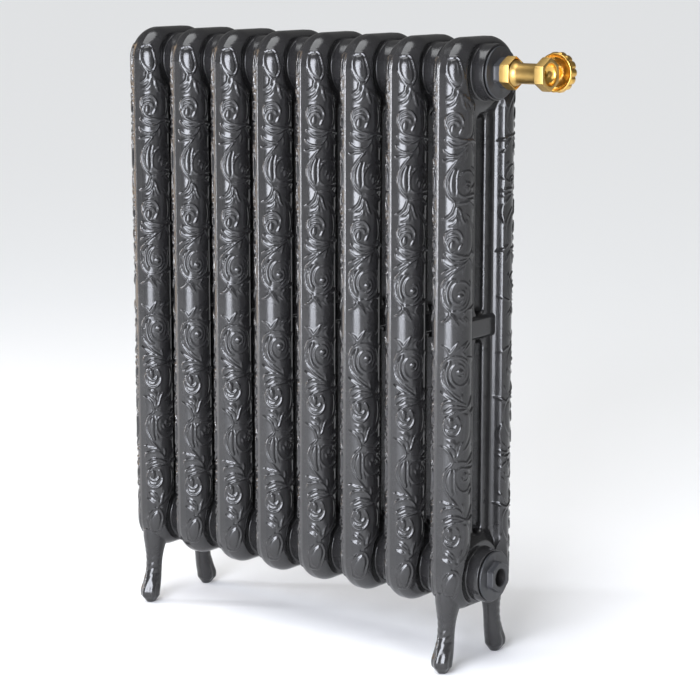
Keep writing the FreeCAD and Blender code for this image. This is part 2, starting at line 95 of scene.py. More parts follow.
def soft_min(a: Array, b: Array, width: float) -> Array:
    """The smaller of a and b, rounded over width where they cross.

    Args:
        a: First surface.
        b: Second surface.
        width: Size of the rounding.

    Returns:
        The blended surface.
    """
    h = np.clip(0.5 + 0.5 * (b - a) / width, 0.0, 1.0)
    return b * (1 - h) + a * h - width * h * (1 - h)


def spline(points: Sequence[Point2], step: float) -> Array:
    """Samples a smooth curve through points.

    Args:
        points: Corner points of the stroke.
        step: Largest gap between samples.

    Returns:
        An (n, 2) array along the curve.
    """
    knots = np.asarray(points, float)
    if len(knots) < 3:
        count = max(2, int(np.linalg.norm(knots[-1] - knots[0]) / step) + 1)
        return np.linspace(knots[0], knots[-1], count)
    ends = np.vstack([2 * knots[0] - knots[1], knots, 2 * knots[-1] - knots[-2]])
    out: List[Array] = []
    for i in range(1, len(ends) - 2):
        p0, p1, p2, p3 = ends[i - 1 : i + 3]
        count = max(2, int(math.ceil(np.linalg.norm(p2 - p1) / step)))
        t = np.linspace(0, 1, count, endpoint=False)[:, None]
        out.append(0.5 * (2 * p1 + (p2 - p0) * t + (2 * p0 - 5 * p1 + 4 * p2 - p3) * t ** 2
                          + (3 * p1 - p0 - 3 * p2 + p3) * t ** 3))
    out.append(knots[-1:])
    return np.vstack(out)


# --------------------------------------------------------------------------------------- finishes
class Slot(Enum):
    """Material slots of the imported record."""

    IRON_PAINT = "iron_paint"
    PLUG_IRON = "plug_iron"
    BLACK_IRON = "black_iron"
    GASKET = "gasket"
    BRASS = "brass"
    STEEL = "steel"
    RUBBER = "rubber"


class Nodes:
    """A short way to build a node material."""

    def __init__(self, name: str) -> None:
        """Starts a material with the given name."""
        self.material = bpy.data.materials.new(name)
        self.material.use_nodes = True
        self.tree = self.material.node_tree
        self.shader = self.tree.nodes["Principled BSDF"]
        self.coordinates = self.add("ShaderNodeTexCoord").outputs["Object"]

    def add(self, kind: str, **values: object) -> bpy.types.Node:
        """Adds a node.

        Args:
            kind: The node's type name.
            values: Attributes to set on it.

        Returns:
            The new node.
        """
        node = self.tree.nodes.new(kind)
        for key, value in values.items():
            setattr(node, key, value)
        return node

    def link(self, start: bpy.types.NodeSocket, end: bpy.types.NodeSocket) -> None:
        """Joins two sockets.

        Args:
            start: Output socket.
            end: Input socket.
        """
        self.tree.links.new(start, end)

    def noise(self, scale: float, detail: float = 3.0,
              stretch: Sequence[float] = (1, 1, 1)) -> bpy.types.NodeSocket:
        """A noise texture in object coordinates.

        Args:
            scale: Features per metre.
            detail: Octaves.
            stretch: Scale along each axis.

        Returns:
            The noise's value output.
        """
        mapping = self.add("ShaderNodeMapping")
        mapping.inputs["Scale"].default_value = stretch
        self.link(self.coordinates, mapping.inputs["Vector"])
        node = self.add("ShaderNodeTexNoise")
        node.inputs["Scale"].default_value = scale
        node.inputs["Detail"].default_value = detail
        self.link(mapping.outputs["Vector"], node.inputs["Vector"])
        return node.outputs["Fac"]

    def spread(self, source: bpy.types.NodeSocket, low: float, high: float,
               start: float = 0.3, stop: float = 0.7) -> bpy.types.NodeSocket:
        """Maps a value from start..stop to low..high.

        Args:
            source: The value.
            low: Result at start.
            high: Result at stop.
            start: Lower end of the input.
            stop: Upper end of the input.

        Returns:
            The mapped value's socket.
        """
        node = self.add("ShaderNodeMapRange")
        for key, value in (("From Min", start), ("From Max", stop), ("To Min", low), ("To Max", high)):
            node.inputs[key].default_value = value
        self.link(source, node.inputs["Value"])
        return node.outputs["Result"]

    def blend(self, factor: bpy.types.NodeSocket, first: Sequence[float],
              second: Sequence[float]) -> bpy.types.NodeSocket:
        """Mixes two colours.

        Args:
            factor: 0 for the first, 1 for the second.
            first: Linear RGB.
            second: Linear RGB.

        Returns:
            The mixed colour's socket.
        """
        node = self.add("ShaderNodeMix", data_type="RGBA")
        node.inputs["A"].default_value = (*first, 1.0)
        node.inputs["B"].default_value = (*second, 1.0)
        self.link(factor, node.inputs["Factor"])
        return node.outputs["Result"]

    def bumps(self, layers: Sequence[Tuple[bpy.types.NodeSocket, float]]) -> None:
        """Chains bump layers into the shader's normal.

        Args:
            layers: Pairs of a height socket and its distance in metres.
        """
        previous = None
        for height, distance in layers:
            node = self.add("ShaderNodeBump")
            node.inputs["Strength"].default_value = 1.0
            node.inputs["Distance"].default_value = distance
            self.link(height, node.inputs["Height"])
            if previous is not None:
                self.link(previous, node.inputs["Normal"])
            previous = node.outputs["Normal"]
        if previous is not None:
            self.link(previous, self.shader.inputs["Normal"])


@dataclass(frozen=True)
class PaintedIron:
    """Satin-gloss paint over sand-cast iron."""

    colour: Tuple[float, float, float] = (0.0130, 0.0127, 0.0130)
    worn: Tuple[float, float, float] = (0.0190, 0.0185, 0.0186)
    roughness: Tuple[float, float] = (0.09, 0.17)
    casting_grain: float = 0.00010
    paint_grain: float = 0.00006

    def material(self, name: str) -> bpy.types.Material:
        """Builds the node material.

        Args:
            name: The material's name.

        Returns:
            The material.
        """
        nodes = Nodes(name)
        patches = nodes.noise(34.0, 4.0)
        grain = nodes.noise(420.0, 3.0)
        fine = nodes.noise(1500.0, 2.0)
        nodes.link(nodes.blend(nodes.spread(patches, 0.0, 1.0), self.colour, self.worn),
                   nodes.shader.inputs["Base Color"])
        nodes.link(nodes.spread(grain, *self.roughness), nodes.shader.inputs["Roughness"])
        nodes.shader.inputs["IOR"].default_value = 1.5
        nodes.shader.inputs["Specular IOR Level"].default_value = 0.5
        nodes.bumps([(grain, self.casting_grain), (fine, self.paint_grain)])
        return nodes.material


@dataclass(frozen=True)
class Metal:
    """A bare metal with machining marks or a polish."""

    colour: Tuple[float, float, float]
    stained: Tuple[float, float, float]
    roughness: Tuple[float, float]
    grain: float = 0.00001
    grain_scale: float = 2600.0
    stretch: Tuple[float, float, float] = (1.0, 1.0, 1.0)
    metallic: float = 1.0

    def material(self, name: str) -> bpy.types.Material:
        """Builds the node material.

        Args:
            name: The material's name.

        Returns:
            The material.
        """
        nodes = Nodes(name)
        stain = nodes.noise(90.0, 4.0)
        marks = nodes.noise(self.grain_scale, 2.0, self.stretch)
        nodes.link(nodes.blend(nodes.spread(stain, 0.0, 1.0), self.colour, self.stained),
                   nodes.shader.inputs["Base Color"])
        nodes.link(nodes.spread(marks, *self.roughness), nodes.shader.inputs["Roughness"])
        nodes.shader.inputs["Metallic"].default_value = self.metallic
        nodes.bumps([(marks, self.grain)])
        return nodes.material


@dataclass(frozen=True)
class Elastomer:
    """Matt rubber or fibre with a fine grain."""

    colour: Tuple[float, float, float]
    speck: Tuple[float, float, float]
    roughness: Tuple[float, float] = (0.6, 0.8)

    def material(self, name: str) -> bpy.types.Material:
        """Builds the node material.

        Args:
            name: The material's name.

        Returns:
            The material.
        """
        nodes = Nodes(name)
        grain = nodes.noise(1800.0, 4.0)
        nodes.link(nodes.blend(nodes.spread(grain, 0.0, 1.0), self.colour, self.speck),
                   nodes.shader.inputs["Base Color"])
        nodes.link(nodes.spread(grain, *self.roughness), nodes.shader.inputs["Roughness"])
        nodes.bumps([(grain, 0.00004)])
        return nodes.material


class Palette:
    """Every finish of the radiator, made once."""

    def __init__(self) -> None:
        """Makes the materials."""
        self.made: Dict[str, bpy.types.Material] = {
            "iron": PaintedIron().material("painted_iron"),
            "plug": PaintedIron(colour=(0.016, 0.017, 0.019), worn=(0.024, 0.024, 0.026),
                                roughness=(0.34, 0.46), casting_grain=0.00005).material("plug_paint"),
            "bore": Metal((0.012, 0.012, 0.013), (0.02, 0.018, 0.017), (0.5, 0.7),
                          grain=0.00005, metallic=0.6).material("bare_bore"),
            "brass": Metal((0.74, 0.46, 0.12), (0.66, 0.40, 0.10), (0.24, 0.32),
                           grain=0.000004).material("polished_brass"),
            "satin": Metal((0.50, 0.33, 0.11), (0.44, 0.28, 0.09), (0.34, 0.44),
                           grain=0.000012, stretch=(1.0, 1.0, 5.0)).material("satin_brass"),
            "steel": Metal((0.55, 0.55, 0.56), (0.48, 0.48, 0.49), (0.24, 0.34)).material("steel"),
            "gasket": Elastomer((0.05, 0.05, 0.052), (0.09, 0.09, 0.09)).material("fibre_gasket"),
            "rubber": Elastomer((0.02, 0.02, 0.02), (0.035, 0.035, 0.035)).material("rubber"),
        }
        self.by_slot: Dict[str, str] = {
            Slot.IRON_PAINT.value: "iron", Slot.PLUG_IRON.value: "plug", Slot.BLACK_IRON.value: "bore",
            Slot.GASKET.value: "gasket", Slot.BRASS.value: "brass", Slot.STEEL.value: "steel",
            Slot.RUBBER.value: "rubber"}

    def __getitem__(self, name: str) -> bpy.types.Material:
        """The finish of that name."""
        return self.made[name]


# ------------------------------------------------------------------------------------ mesh builder
class Mesh:
    """Collects patches of quads, welds them where they share an island, and makes an object."""

    welds_per_mm = 200

    def __init__(self) -> None:
        """Starts empty."""
        self.points: List[Array] = []
        self.islands: List[Array] = []
        self.faces: List[Array] = []
        self.slots: List[Array] = []
        self.count = 0

    def grid(self, points: Array, outward: Optional[Array] = None, island: int = 0, slot: int = 0,
             wrap: bool = False) -> None:
        """Adds a grid of quads.

        Args:
            points: (rows, columns, 3) array in millimetres.
            outward: A direction, or one per point, that the faces should look towards.
            island: Points weld only within one island, so islands meet in a crisp edge.
            slot: Material slot of the faces.
            wrap: True if the last column joins the first.
        """
        rows, columns = points.shape[:2]
        index = np.arange(rows * columns).reshape(rows, columns)
        if wrap:
            index = np.hstack([index, index[:, :1]])
        around = [index[:-1, :-1], index[:-1, 1:], index[1:, 1:], index[1:, :-1]]
        quads = np.stack(around, -1).reshape(-1, 4)
        flat = points.reshape(-1, 3)
        if outward is not None:
            normals = np.cross(flat[quads[:, 2]] - flat[quads[:, 0]], flat[quads[:, 3]] - flat[quads[:, 1]])
            wish = np.broadcast_to(outward, points.shape).reshape(-1, 3)[quads[:, 0]]
            if float((normals * wish).sum()) < 0:
                quads = quads[:, ::-1]
        self.points.append(flat)
        self.islands.append(np.full(len(flat), island))
        self.faces.append(quads + self.count)
        self.slots.append(np.full(len(quads), slot))
        self.count += len(flat)

    def mirrored(self, sign: Tuple[int, int, int], about: Tuple[float, float, float] = (0, 0, 0)) -> "Mesh":
        """A mirror image.

        Args:
            sign: -1 on each axis that flips.
            about: Fixed point of the mirror.

        Returns:
            A new Mesh.
        """
        other = Mesh()
        flip = int(np.prod(sign)) < 0
        centre = np.asarray(about, float)
        other.points = [(p - centre) * np.asarray(sign) + centre for p in self.points]
        other.islands = list(self.islands)
        other.faces = [f[:, ::-1] if flip else f for f in self.faces]
        other.slots = list(self.slots)
        other.count = self.count
        return other

    def add(self, other: "Mesh", island_shift: int = 0) -> None:
        """Adds another builder's patches.

        Args:
            other: The builder.
            island_shift: Added to its island numbers, so its points stay apart.
        """
        self.points += other.points
        self.islands += [i + island_shift for i in other.islands]
        self.faces += [f + self.count for f in other.faces]
        self.slots += other.slots
        self.count += other.count

    def data(self, name: str, materials: Sequence[bpy.types.Material],
             crease: Optional[float] = None) -> bpy.types.Mesh:
        """Welds the patches and makes the mesh data.

        Args:
            name: Name of the mesh.
            materials: One per slot used.
            crease: Edges sharper than this many degrees stay crisp.

        Returns:
            The mesh data, in metres.
        """
        points = np.vstack(self.points)
        islands = np.concatenate(self.islands)
        faces = np.vstack(self.faces)
        slots = np.concatenate(self.slots)
        keys = np.column_stack([np.round(points * self.welds_per_mm).astype(np.int64), islands])
        _, first, where = np.unique(keys, axis=0, return_index=True, return_inverse=True)
        where = where.reshape(-1)
        faces = where[faces]
        distinct = [faces[:, i] != faces[:, (i + 1) % 4] for i in range(4)]
        corners = sum(d.astype(int) for d in distinct)
        keep = corners >= 3
        faces, slots, corners = faces[keep], slots[keep], corners[keep]
        keep_corner = np.stack([faces[:, i] != faces[:, (i + 1) % 4] for i in range(4)], -1)
        loops = faces[keep_corner]
        starts = np.concatenate([[0], np.cumsum(corners)[:-1]])
        mesh = bpy.data.meshes.new(name)
        mesh.vertices.add(len(first))
        mesh.vertices.foreach_set("co", (points[first] * MM).astype(np.float32).ravel())
        mesh.loops.add(len(loops))
        mesh.loops.foreach_set("vertex_index", loops.astype(np.int32))
        mesh.polygons.add(len(starts))
        mesh.polygons.foreach_set("loop_start", starts.astype(np.int32))
        mesh.polygons.foreach_set("material_index", slots.astype(np.int32))
        mesh.polygons.foreach_set("use_smooth", np.ones(len(starts), bool))
        for material in materials:
            mesh.materials.append(material)
        mesh.update(calc_edges=True)
        mesh.validate()
        if crease is not None:
            work = bmesh.new()
            work.from_mesh(mesh)
            bmesh.ops.recalc_face_normals(work, faces=work.faces)
            work.to_mesh(mesh)
            work.free()
            mesh.set_sharp_from_angle(angle=math.radians(crease))
        return mesh


def place(mesh: bpy.types.Mesh, name: str, at: Sequence[float] = (0, 0, 0)) -> bpy.types.Object:
    """Links an object for a mesh.

    Args:
        mesh: The mesh data.
        name: The object's name.
        at: Its place in millimetres.

    Returns:
        The object.
    """
    piece = bpy.data.objects.new(name, mesh)
    bpy.context.scene.collection.objects.link(piece)
    piece.location = Vector(at) * MM
    return piece


def dress(piece: bpy.types.Object, body: str, slot: Slot, *nodes: str) -> None:
    """Hangs a piece on a body in place of CAD nodes.

    Args:
        piece: The visual piece.
        body: CAD body it moves with.
        slot: Record slot that the piece stands for; not used.
        nodes: CAD nodes it stands for.
    """
    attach(piece, body)
    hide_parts(*nodes)


# ------------------------------------------------------------------------------------ turned parts
class Axis(Enum):
    """Direction that a turned part runs in: its along, first and second cross axes."""

    PLUS_X = ((1, 0, 0), (0, 0, 1), (0, -1, 0))
    MINUS_X = ((-1, 0, 0), (0, 0, 1), (0, 1, 0))
    PLUS_Y = ((0, 1, 0), (0, 0, 1), (1, 0, 0))


@dataclass(frozen=True)
class Ring:
    """One station of a turned part.

    flats limits the radius to a hexagon of that size across flats; thread adds a screw thread.
    """

    along: float
    radius: float
    flats: float = 0.0
    slot: int = 0
    thread: float = 0.0


@dataclass
class Turned:
    """A solid of revolution whose stations may be clipped to a hexagon or carry a thread."""

    rings: List[Ring]
    axis: Axis
    centre: Tuple[float, float, float]
    segments: int = 96
    corner_radius: float = 0.6
    thread_pitch: float = 2.3
    lobes: Optional[Callable[[Array, Ring], Array]] = None

    def radii(self, angles: Array, ring: Ring) -> Array:
        """Radius of a ring at each angle.

        Args:
            angles: Angles from the first cross axis.
            ring: The station.

        Returns:
            One radius per angle.
        """
        radius = np.full_like(angles, ring.radius)
        if ring.flats > 0:
            sector = np.mod(angles, math.pi / 3) - math.pi / 6
            hexagon = ring.flats / 2 / np.cos(sector)
            corner = ring.flats / math.sqrt(3.0) - self.corner_radius * 0.155
            radius = np.minimum(radius, soft_min(hexagon, np.full_like(angles, corner), 0.3))
        if ring.thread > 0:
            phase = np.mod(ring.along / self.thread_pitch - angles / (2 * math.pi), 1.0)
            radius = radius + ring.thread * (1 - 2 * np.abs(2 * phase - 1))
        if self.lobes is not None:
            radius = self.lobes(angles, ring)
        return radius

    def angles(self) -> Array:
        """Angles of the segments, closer together beside a hexagon's corners.

        Returns:
            Increasing angles from 0 to just under a full turn.
        """
        if not any(ring.flats > 0 for ring in self.rings):
            return np.linspace(0, 2 * math.pi, self.segments, endpoint=False)
        per_side = self.segments // 6
        t = np.linspace(-1, 1, per_side, endpoint=False)
        eased = np.sign(t) * (1 - (1 - np.abs(t)) ** 1.7)
        side = (eased + 1) / 2 * math.pi / 3
        return np.concatenate([side + k * math.pi / 3 for k in range(6)])

    def mesh(self) -> Mesh:
        """Builds the skin, closed from the last ring back to the first.

        Returns:
            The Mesh builder, in part coordinates.
        """
        angles = self.angles()
        along, first, second = (np.asarray(v, float) for v in self.axis.value)
        skin = Mesh()
        loop = self.rings + self.rings[:1]
        made = []
        for ring in loop:
            radius = self.radii(angles, ring)
            made.append(ring.along * along[None, :] + radius[:, None]
                        * (np.cos(angles)[:, None] * first + np.sin(angles)[:, None] * second))
        rows = np.stack(made) + np.asarray(self.centre)
        for i in range(len(self.rings)):
            skin.grid(rows[i : i + 2], slot=loop[i].slot, wrap=True)
        return skin


def arc_rings(centre: Point2, radius: float, start: float, stop: float, count: int) -> List[Ring]:
    """Rings along a round corner.

    Args:
        centre: (along, radius) of the arc's centre.
        radius: Radius of the arc.
        start: Start angle in degrees, 0 along the axis and 90 outwards.
        stop: End angle in degrees.
        count: Number of rings.

    Returns:
        The rings.
    """
    return [Ring(centre[0] + radius * math.cos(a), centre[1] + radius * math.sin(a))
            for a in np.radians(np.linspace(start, stop, count))]


# ------------------------------------------------------------------------------------------ relief
@dataclass(frozen=True)
class Stroke:
    """A raised bead along a curve on the unrolled flank: across (u) and up from mid height (w)."""

    points: Tuple[Point2, ...]
    height: float = 1.7
    half_width: float = 1.3
    start_taper: float = 6.0
    end_taper: float = 6.0


@dataclass(frozen=True)
class Pillow:
    """A raised, domed area inside a closed outline."""

    outline: Tuple[Point2, ...]
    height: float = 1.2
    shoulder: float = 3.0


@dataclass(frozen=True)
class Motif:
    """One ornament of the pattern."""

    strokes: Tuple[Stroke, ...] = ()
    pillows: Tuple[Pillow, ...] = ()

    def moved(self, rise: float) -> "Motif":
        """The same motif further up the flank.

        Args:
            rise: Distance in millimetres.

        Returns:
            The moved motif.
        """
        def lift(points: Tuple[Point2, ...]) -> Tuple[Point2, ...]:
            """The points, moved up."""
            return tuple((u, w + rise) for u, w in points)

        return Motif(tuple(Stroke(lift(s.points), s.height, s.half_width, s.start_taper, s.end_taper)
                           for s in self.strokes),
                     tuple(Pillow(lift(p.outline), p.height, p.shoulder) for p in self.pillows))


def middle_leaves() -> Motif:
    """Leaves that fan out from the plain middle."""
    return Motif(strokes=(
        Stroke(((13.5, 29), (12.8, 26), (11.5, 22.5), (8.5, 18.8), (4.5, 16.4), (1, 15.5)), 1.9, 1.5, 2, 8),
        Stroke(((13, 27), (15.5, 23.5), (18, 20), (21, 15.5), (24.5, 10.5)), 1.9, 1.5, 2, 8),
        Stroke(((15, 28), (19, 23), (23, 16.5)), 1.3, 1.2, 2, 6),
        Stroke(((30, 22), (34, 17), (38, 11)), 1.2, 1.8, 4, 5),
        Stroke(((30, 23), (33, 27), (36, 30.5)), 1.2, 1.6, 3, 5),
        Stroke(((25, 21), (31, 16), (37, 12), (41, 10)), 0.8, 1.2, 4, 6),
        Stroke(((30, 25), (36, 20), (41, 16), (45, 13)), 0.8, 1.2, 4, 6)))


def great_volute() -> Motif:
    """The large crescent and spiral above the middle."""
    outer = ((13.5, 29.5), (9, 33), (5, 38), (2, 45), (0.8, 52), (1, 60), (3, 66), (7, 71), (12, 77),
             (18, 83), (25, 88.5), (33, 93), (38, 96))
    inner = ((12.5, 34), (8.5, 39), (5.4, 46), (4.2, 52), (4.4, 59), (6.2, 64.5), (10, 69.5), (15, 75),
             (21, 80.5), (28, 85.5), (35, 89.5))
    spiral = ((14, 29.5), (22, 29.8), (31, 32), (38, 37), (42, 46), (42.5, 55), (39, 63), (32, 68),
              (24, 68), (18, 63.5), (15, 56), (15, 49), (17.5, 43.5), (22, 40.5), (27, 40.5),
              (31.5, 43.5), (33.5, 49), (32, 54.5), (28, 57), (24.5, 55))
    return Motif(
        strokes=(Stroke(outer, 2.0, 1.3, 3, 10), Stroke(inner, 0.7, 0.9, 5, 10),
                 Stroke(spiral, 1.1, 1.5, 3, 5),
                 Stroke(((30, 80), (31, 86), (33, 92)), 1.2, 1.8, 4, 4),
                 Stroke(((25.5, 49.5), (27.5, 49.6), (29.3, 49.5)), 2.0, 3.6, 2, 2)),
        pillows=(Pillow(((13, 34), (15, 40), (12.5, 46), (11.5, 54), (13, 62), (17, 68.5), (21, 72),
                         (14, 72.5), (8.5, 65), (6, 57), (6, 48), (9, 39)), 2.2, 4.5),
                 Pillow(((24, 33), (31, 35), (37, 41), (39.5, 49), (38.5, 56), (34.5, 62), (34.5, 57),
                         (36.5, 50), (34.5, 42.5), (29.5, 37.5)), 0.9, 2.5)))


def low_crescents() -> Motif:
    """The nest of crescents over the great volute."""
    return Motif(strokes=(
        Stroke(((4, 105), (10, 101), (15, 96.5), (21, 95.5), (28, 96.5), (33, 97.5), (38, 99.5)),
               1.6, 1.5, 5, 8),
        Stroke(((4, 105.5), (12, 104), (18, 101.5), (28, 100), (38, 101)), 1.3, 1.2, 5, 8),
        Stroke(((2.5, 99), (4, 94), (8, 90.5), (12, 88.5), (20, 89.5), (27, 91), (33, 94.5)),
               1.7, 1.6, 5, 7),
        Stroke(((-1.5, 76), (1.8, 78.5), (5, 80.5), (12, 85), (20, 87)), 1.5, 1.5, 4, 8)),
        pillows=(Pillow(((6, 104.3), (12, 101), (16, 98.2), (22, 97.4), (30, 98.5), (22, 99.6),
                         (14, 102.5)), 0.8, 1.8),))


def c_scroll() -> Motif:
    """A C-shaped scroll that opens towards the web."""
    return Motif(
        strokes=(
            Stroke(((40, 101), (30, 102), (20, 104.5), (12, 108.5), (8.5, 114), (6, 121), (6.2, 128),
                    (9, 133), (14, 136.3), (20, 136.5), (25, 133), (28.5, 127), (29, 121)),
                   1.8, 1.5, 8, 4),
            Stroke(((9, 110), (8.3, 117), (10, 122), (14, 125.5), (19, 126), (22, 124), (23.5, 120.5)),
                   1.7, 1.5, 3, 3),
            Stroke(((9.5, 127.5), (12.5, 130.5), (17, 131.3), (21.5, 129.5)), 1.2, 1.3, 3, 4),
            Stroke(((24, 110), (26, 114), (28, 118)), 1.4, 1.8, 3, 3),
            Stroke(((33, 157), (38, 153), (43, 147), (47, 140), (49.5, 130), (50, 120), (47, 110),
                    (40, 101)), 0.9, 1.5, 8, 4)),
        pillows=(Pillow(((10.5, 111), (14, 109.5), (17.5, 112), (18.5, 117), (17.5, 122), (14.5, 123.5),
                         (11.5, 120.5), (10, 116)), 2.4, 4.0),
                 Pillow(((33, 106), (42, 108), (46, 118), (45, 132), (40, 143), (34, 150), (33, 138),
                         (34, 122)), 0.7, 3.5)))


def lower_leaves() -> Motif:
    """Leaves that meet at the waist between two scrolls."""
    return Motif(strokes=(
        Stroke(((18.5, 171), (17, 165), (15, 160), (12, 156), (8, 152.5), (0, 150)), 1.8, 1.5, 2, 8),
        Stroke(((21, 166), (20.5, 158), (19, 154), (15.5, 151), (11, 148.5)), 1.6, 1.6, 3, 5),
        Stroke(((21, 152), (20, 146.5), (16, 142.8), (11, 141.3)), 1.6, 1.6, 4, 4),
        Stroke(((22.5, 150), (21.8, 145.5), (18.5, 140.8), (13, 138.8)), 1.0, 1.1, 4, 4),
        Stroke(((21, 166), (25, 162), (27, 155), (29, 149), (33, 144.5)), 1.7, 1.6, 3, 6),
        Stroke(((23, 159), (24.5, 150), (27, 143)), 0.8, 1.6, 5, 5)))


def s_belly() -> Motif:
    """The long belly with its spiral at the second waist."""
    return Motif(
        strokes=(
            Stroke(((18.5, 171), (16, 175), (11, 180), (8, 186), (6, 193), (6, 200), (8, 206), (11, 212),
                    (15, 218), (20, 224.5), (24, 229)), 1.8, 1.5, 3, 6),
            Stroke(((20.5, 180), (21.5, 188), (21, 198), (21.5, 207), (24, 216)), 1.3, 1.3, 5, 6),
            Stroke(((20, 171), (30, 171), (40, 173), (48, 178), (51, 187), (50, 198), (45, 208), (35, 212),
                    (27, 208), (22.5, 200), (21, 191), (23, 184), (28, 180), (34, 179.5), (40, 183),
                    (42.5, 190), (40, 196), (35, 197)), 1.0, 1.5, 4, 4),
            Stroke(((23, 203), (26, 207), (29, 210)), 1.2, 1.6, 3, 3),
            Stroke(((31, 192), (32.5, 196), (34, 199)), 1.2, 1.6, 3, 3)),
        pillows=(Pillow(((16, 178.5), (18.5, 184), (18.5, 195), (18.5, 205), (20, 214), (17, 216.5),
                         (13, 210.5), (10, 203), (8.6, 195), (10.5, 186)), 2.5, 5.0),
                 Pillow(((35, 185), (39.5, 187), (40.5, 191.5), (37, 194.5), (33.5, 191)), 1.4, 2.5)))


def high_crescents() -> Motif:
    """The second nest of crescents."""
    return Motif(strokes=(
        Stroke(((4, 253), (9, 249), (14, 245), (20, 244), (28, 246), (35, 249.5), (40, 252.5)),
               1.7, 1.6, 5, 8),
        Stroke(((5, 254), (12, 251.8), (20, 248.5), (30, 250)), 1.1, 1.1, 5, 6),
        Stroke(((2.5, 241), (5, 237), (10, 233.5), (16, 232.3), (22, 233), (27, 236), (31, 241), (34, 245)),
               1.7, 1.6, 5, 6),
        Stroke(((0.5, 226), (5, 225), (10, 227), (17, 228), (22, 228.5), (26, 231)), 1.5, 1.5, 4, 6),
        Stroke(((33, 239), (33.5, 233), (32, 228)), 1.2, 1.6, 3, 4)))


def upper_leaves() -> Motif:
    """Leaves under the cartouche."""
    return Motif(strokes=(
        Stroke(((16, 319), (15.5, 314), (14, 310), (10, 306.5), (6, 304.5), (1, 303.3)), 1.8, 1.5, 2, 7),
        Stroke(((18, 313), (16.5, 308), (13, 305), (10, 303.5)), 1.3, 1.3, 3, 3),
        Stroke(((20, 310), (18.5, 303), (14, 298), (8, 295.5)), 1.7, 1.6, 4, 5),
        Stroke(((21.5, 305), (20.3, 299), (16.5, 294.5), (11, 292)), 1.1, 1.2, 4, 5),
        Stroke(((24, 313), (27, 307), (28, 302), (30, 296), (32.5, 291)), 1.7, 1.6, 3, 6),
        Stroke(((22, 317), (22, 305), (20.5, 300)), 1.3, 1.4, 3, 5),
        Stroke(((24, 313), (30, 308), (36, 302), (42, 296), (46, 289), (49, 280)), 1.1, 1.5, 4, 10)))


def web_side_leaves() -> Motif:
    """Leaf tips that run out over the shoulder towards the web."""
    return Motif(strokes=(
        Stroke(((35, 249.5), (42, 251), (49, 249), (56, 244.5)), 2.4, 2.0, 6, 5),
        Stroke(((40, 250), (44, 245), (49, 237), (53.5, 230)), 1.8, 1.4, 5, 5),
        Stroke(((44, 217), (47, 214), (51, 209)), 1.7, 1.5, 4, 4),
        Stroke(((43, 208), (46, 205), (49.5, 201.5)), 1.5, 1.4, 4, 4),
        Stroke(((40, 189), (47, 191), (54, 197)), 1.4, 1.5, 6, 4),
        Stroke(((36, 180), (45, 181), (54, 179)), 2.2, 1.9, 6, 5),
        Stroke(((37, 175.5), (46, 175), (54.5, 171.5)), 1.5, 1.5, 6, 4),
        Stroke(((37, 174.5), (44, 168.5), (48, 165), (53, 160)), 1.8, 1.4, 6, 5),
        Stroke(((53, 160), (53.8, 150), (52.5, 140), (49.5, 131)), 1.1, 1.4, 4, 6),
        Stroke(((44, 107), (50, 103), (56, 98.5)), 2.4, 2.0, 5, 5),
        Stroke(((40, 98.5), (44.5, 92.5), (48.5, 84)), 1.8, 1.4, 5, 5),
        Stroke(((42, 69), (43.5, 64.5), (42.5, 60)), 1.5, 1.5, 4, 4),
        Stroke(((38, 31), (46, 33), (55, 38)), 1.3, 1.5, 6, 4),
        Stroke(((46, 282), (51, 292), (53, 304)), 1.1, 1.4, 6, 6)))


def cartouche() -> Motif:
    """The plain domed shield at the head of the column, inside its border."""
    border = ((21, 318.5), (18, 318.5), (12, 325), (8, 331), (5, 338), (4, 345), (4.5, 352), (6, 356),
              (9, 359), (11, 358), (13, 360), (15.5, 361), (18, 360), (20, 358.5), (22, 354.5),
              (24.5, 350), (27, 342), (28.5, 335), (28.5, 330), (27, 325), (24.5, 320.5), (21, 318.5))
    inside = ((20.5, 321.5), (14, 326.5), (10, 333), (7.5, 340), (6.8, 347), (8, 353.5), (11, 355.8),
              (15, 357.5), (18.5, 355.5), (21.5, 350), (24, 342), (25.8, 335), (25.5, 328.5), (23.5, 323.5))
    return Motif(strokes=(Stroke(border, 1.5, 1.4, 0, 0),), pillows=(Pillow(inside, 1.5, 4.0),))


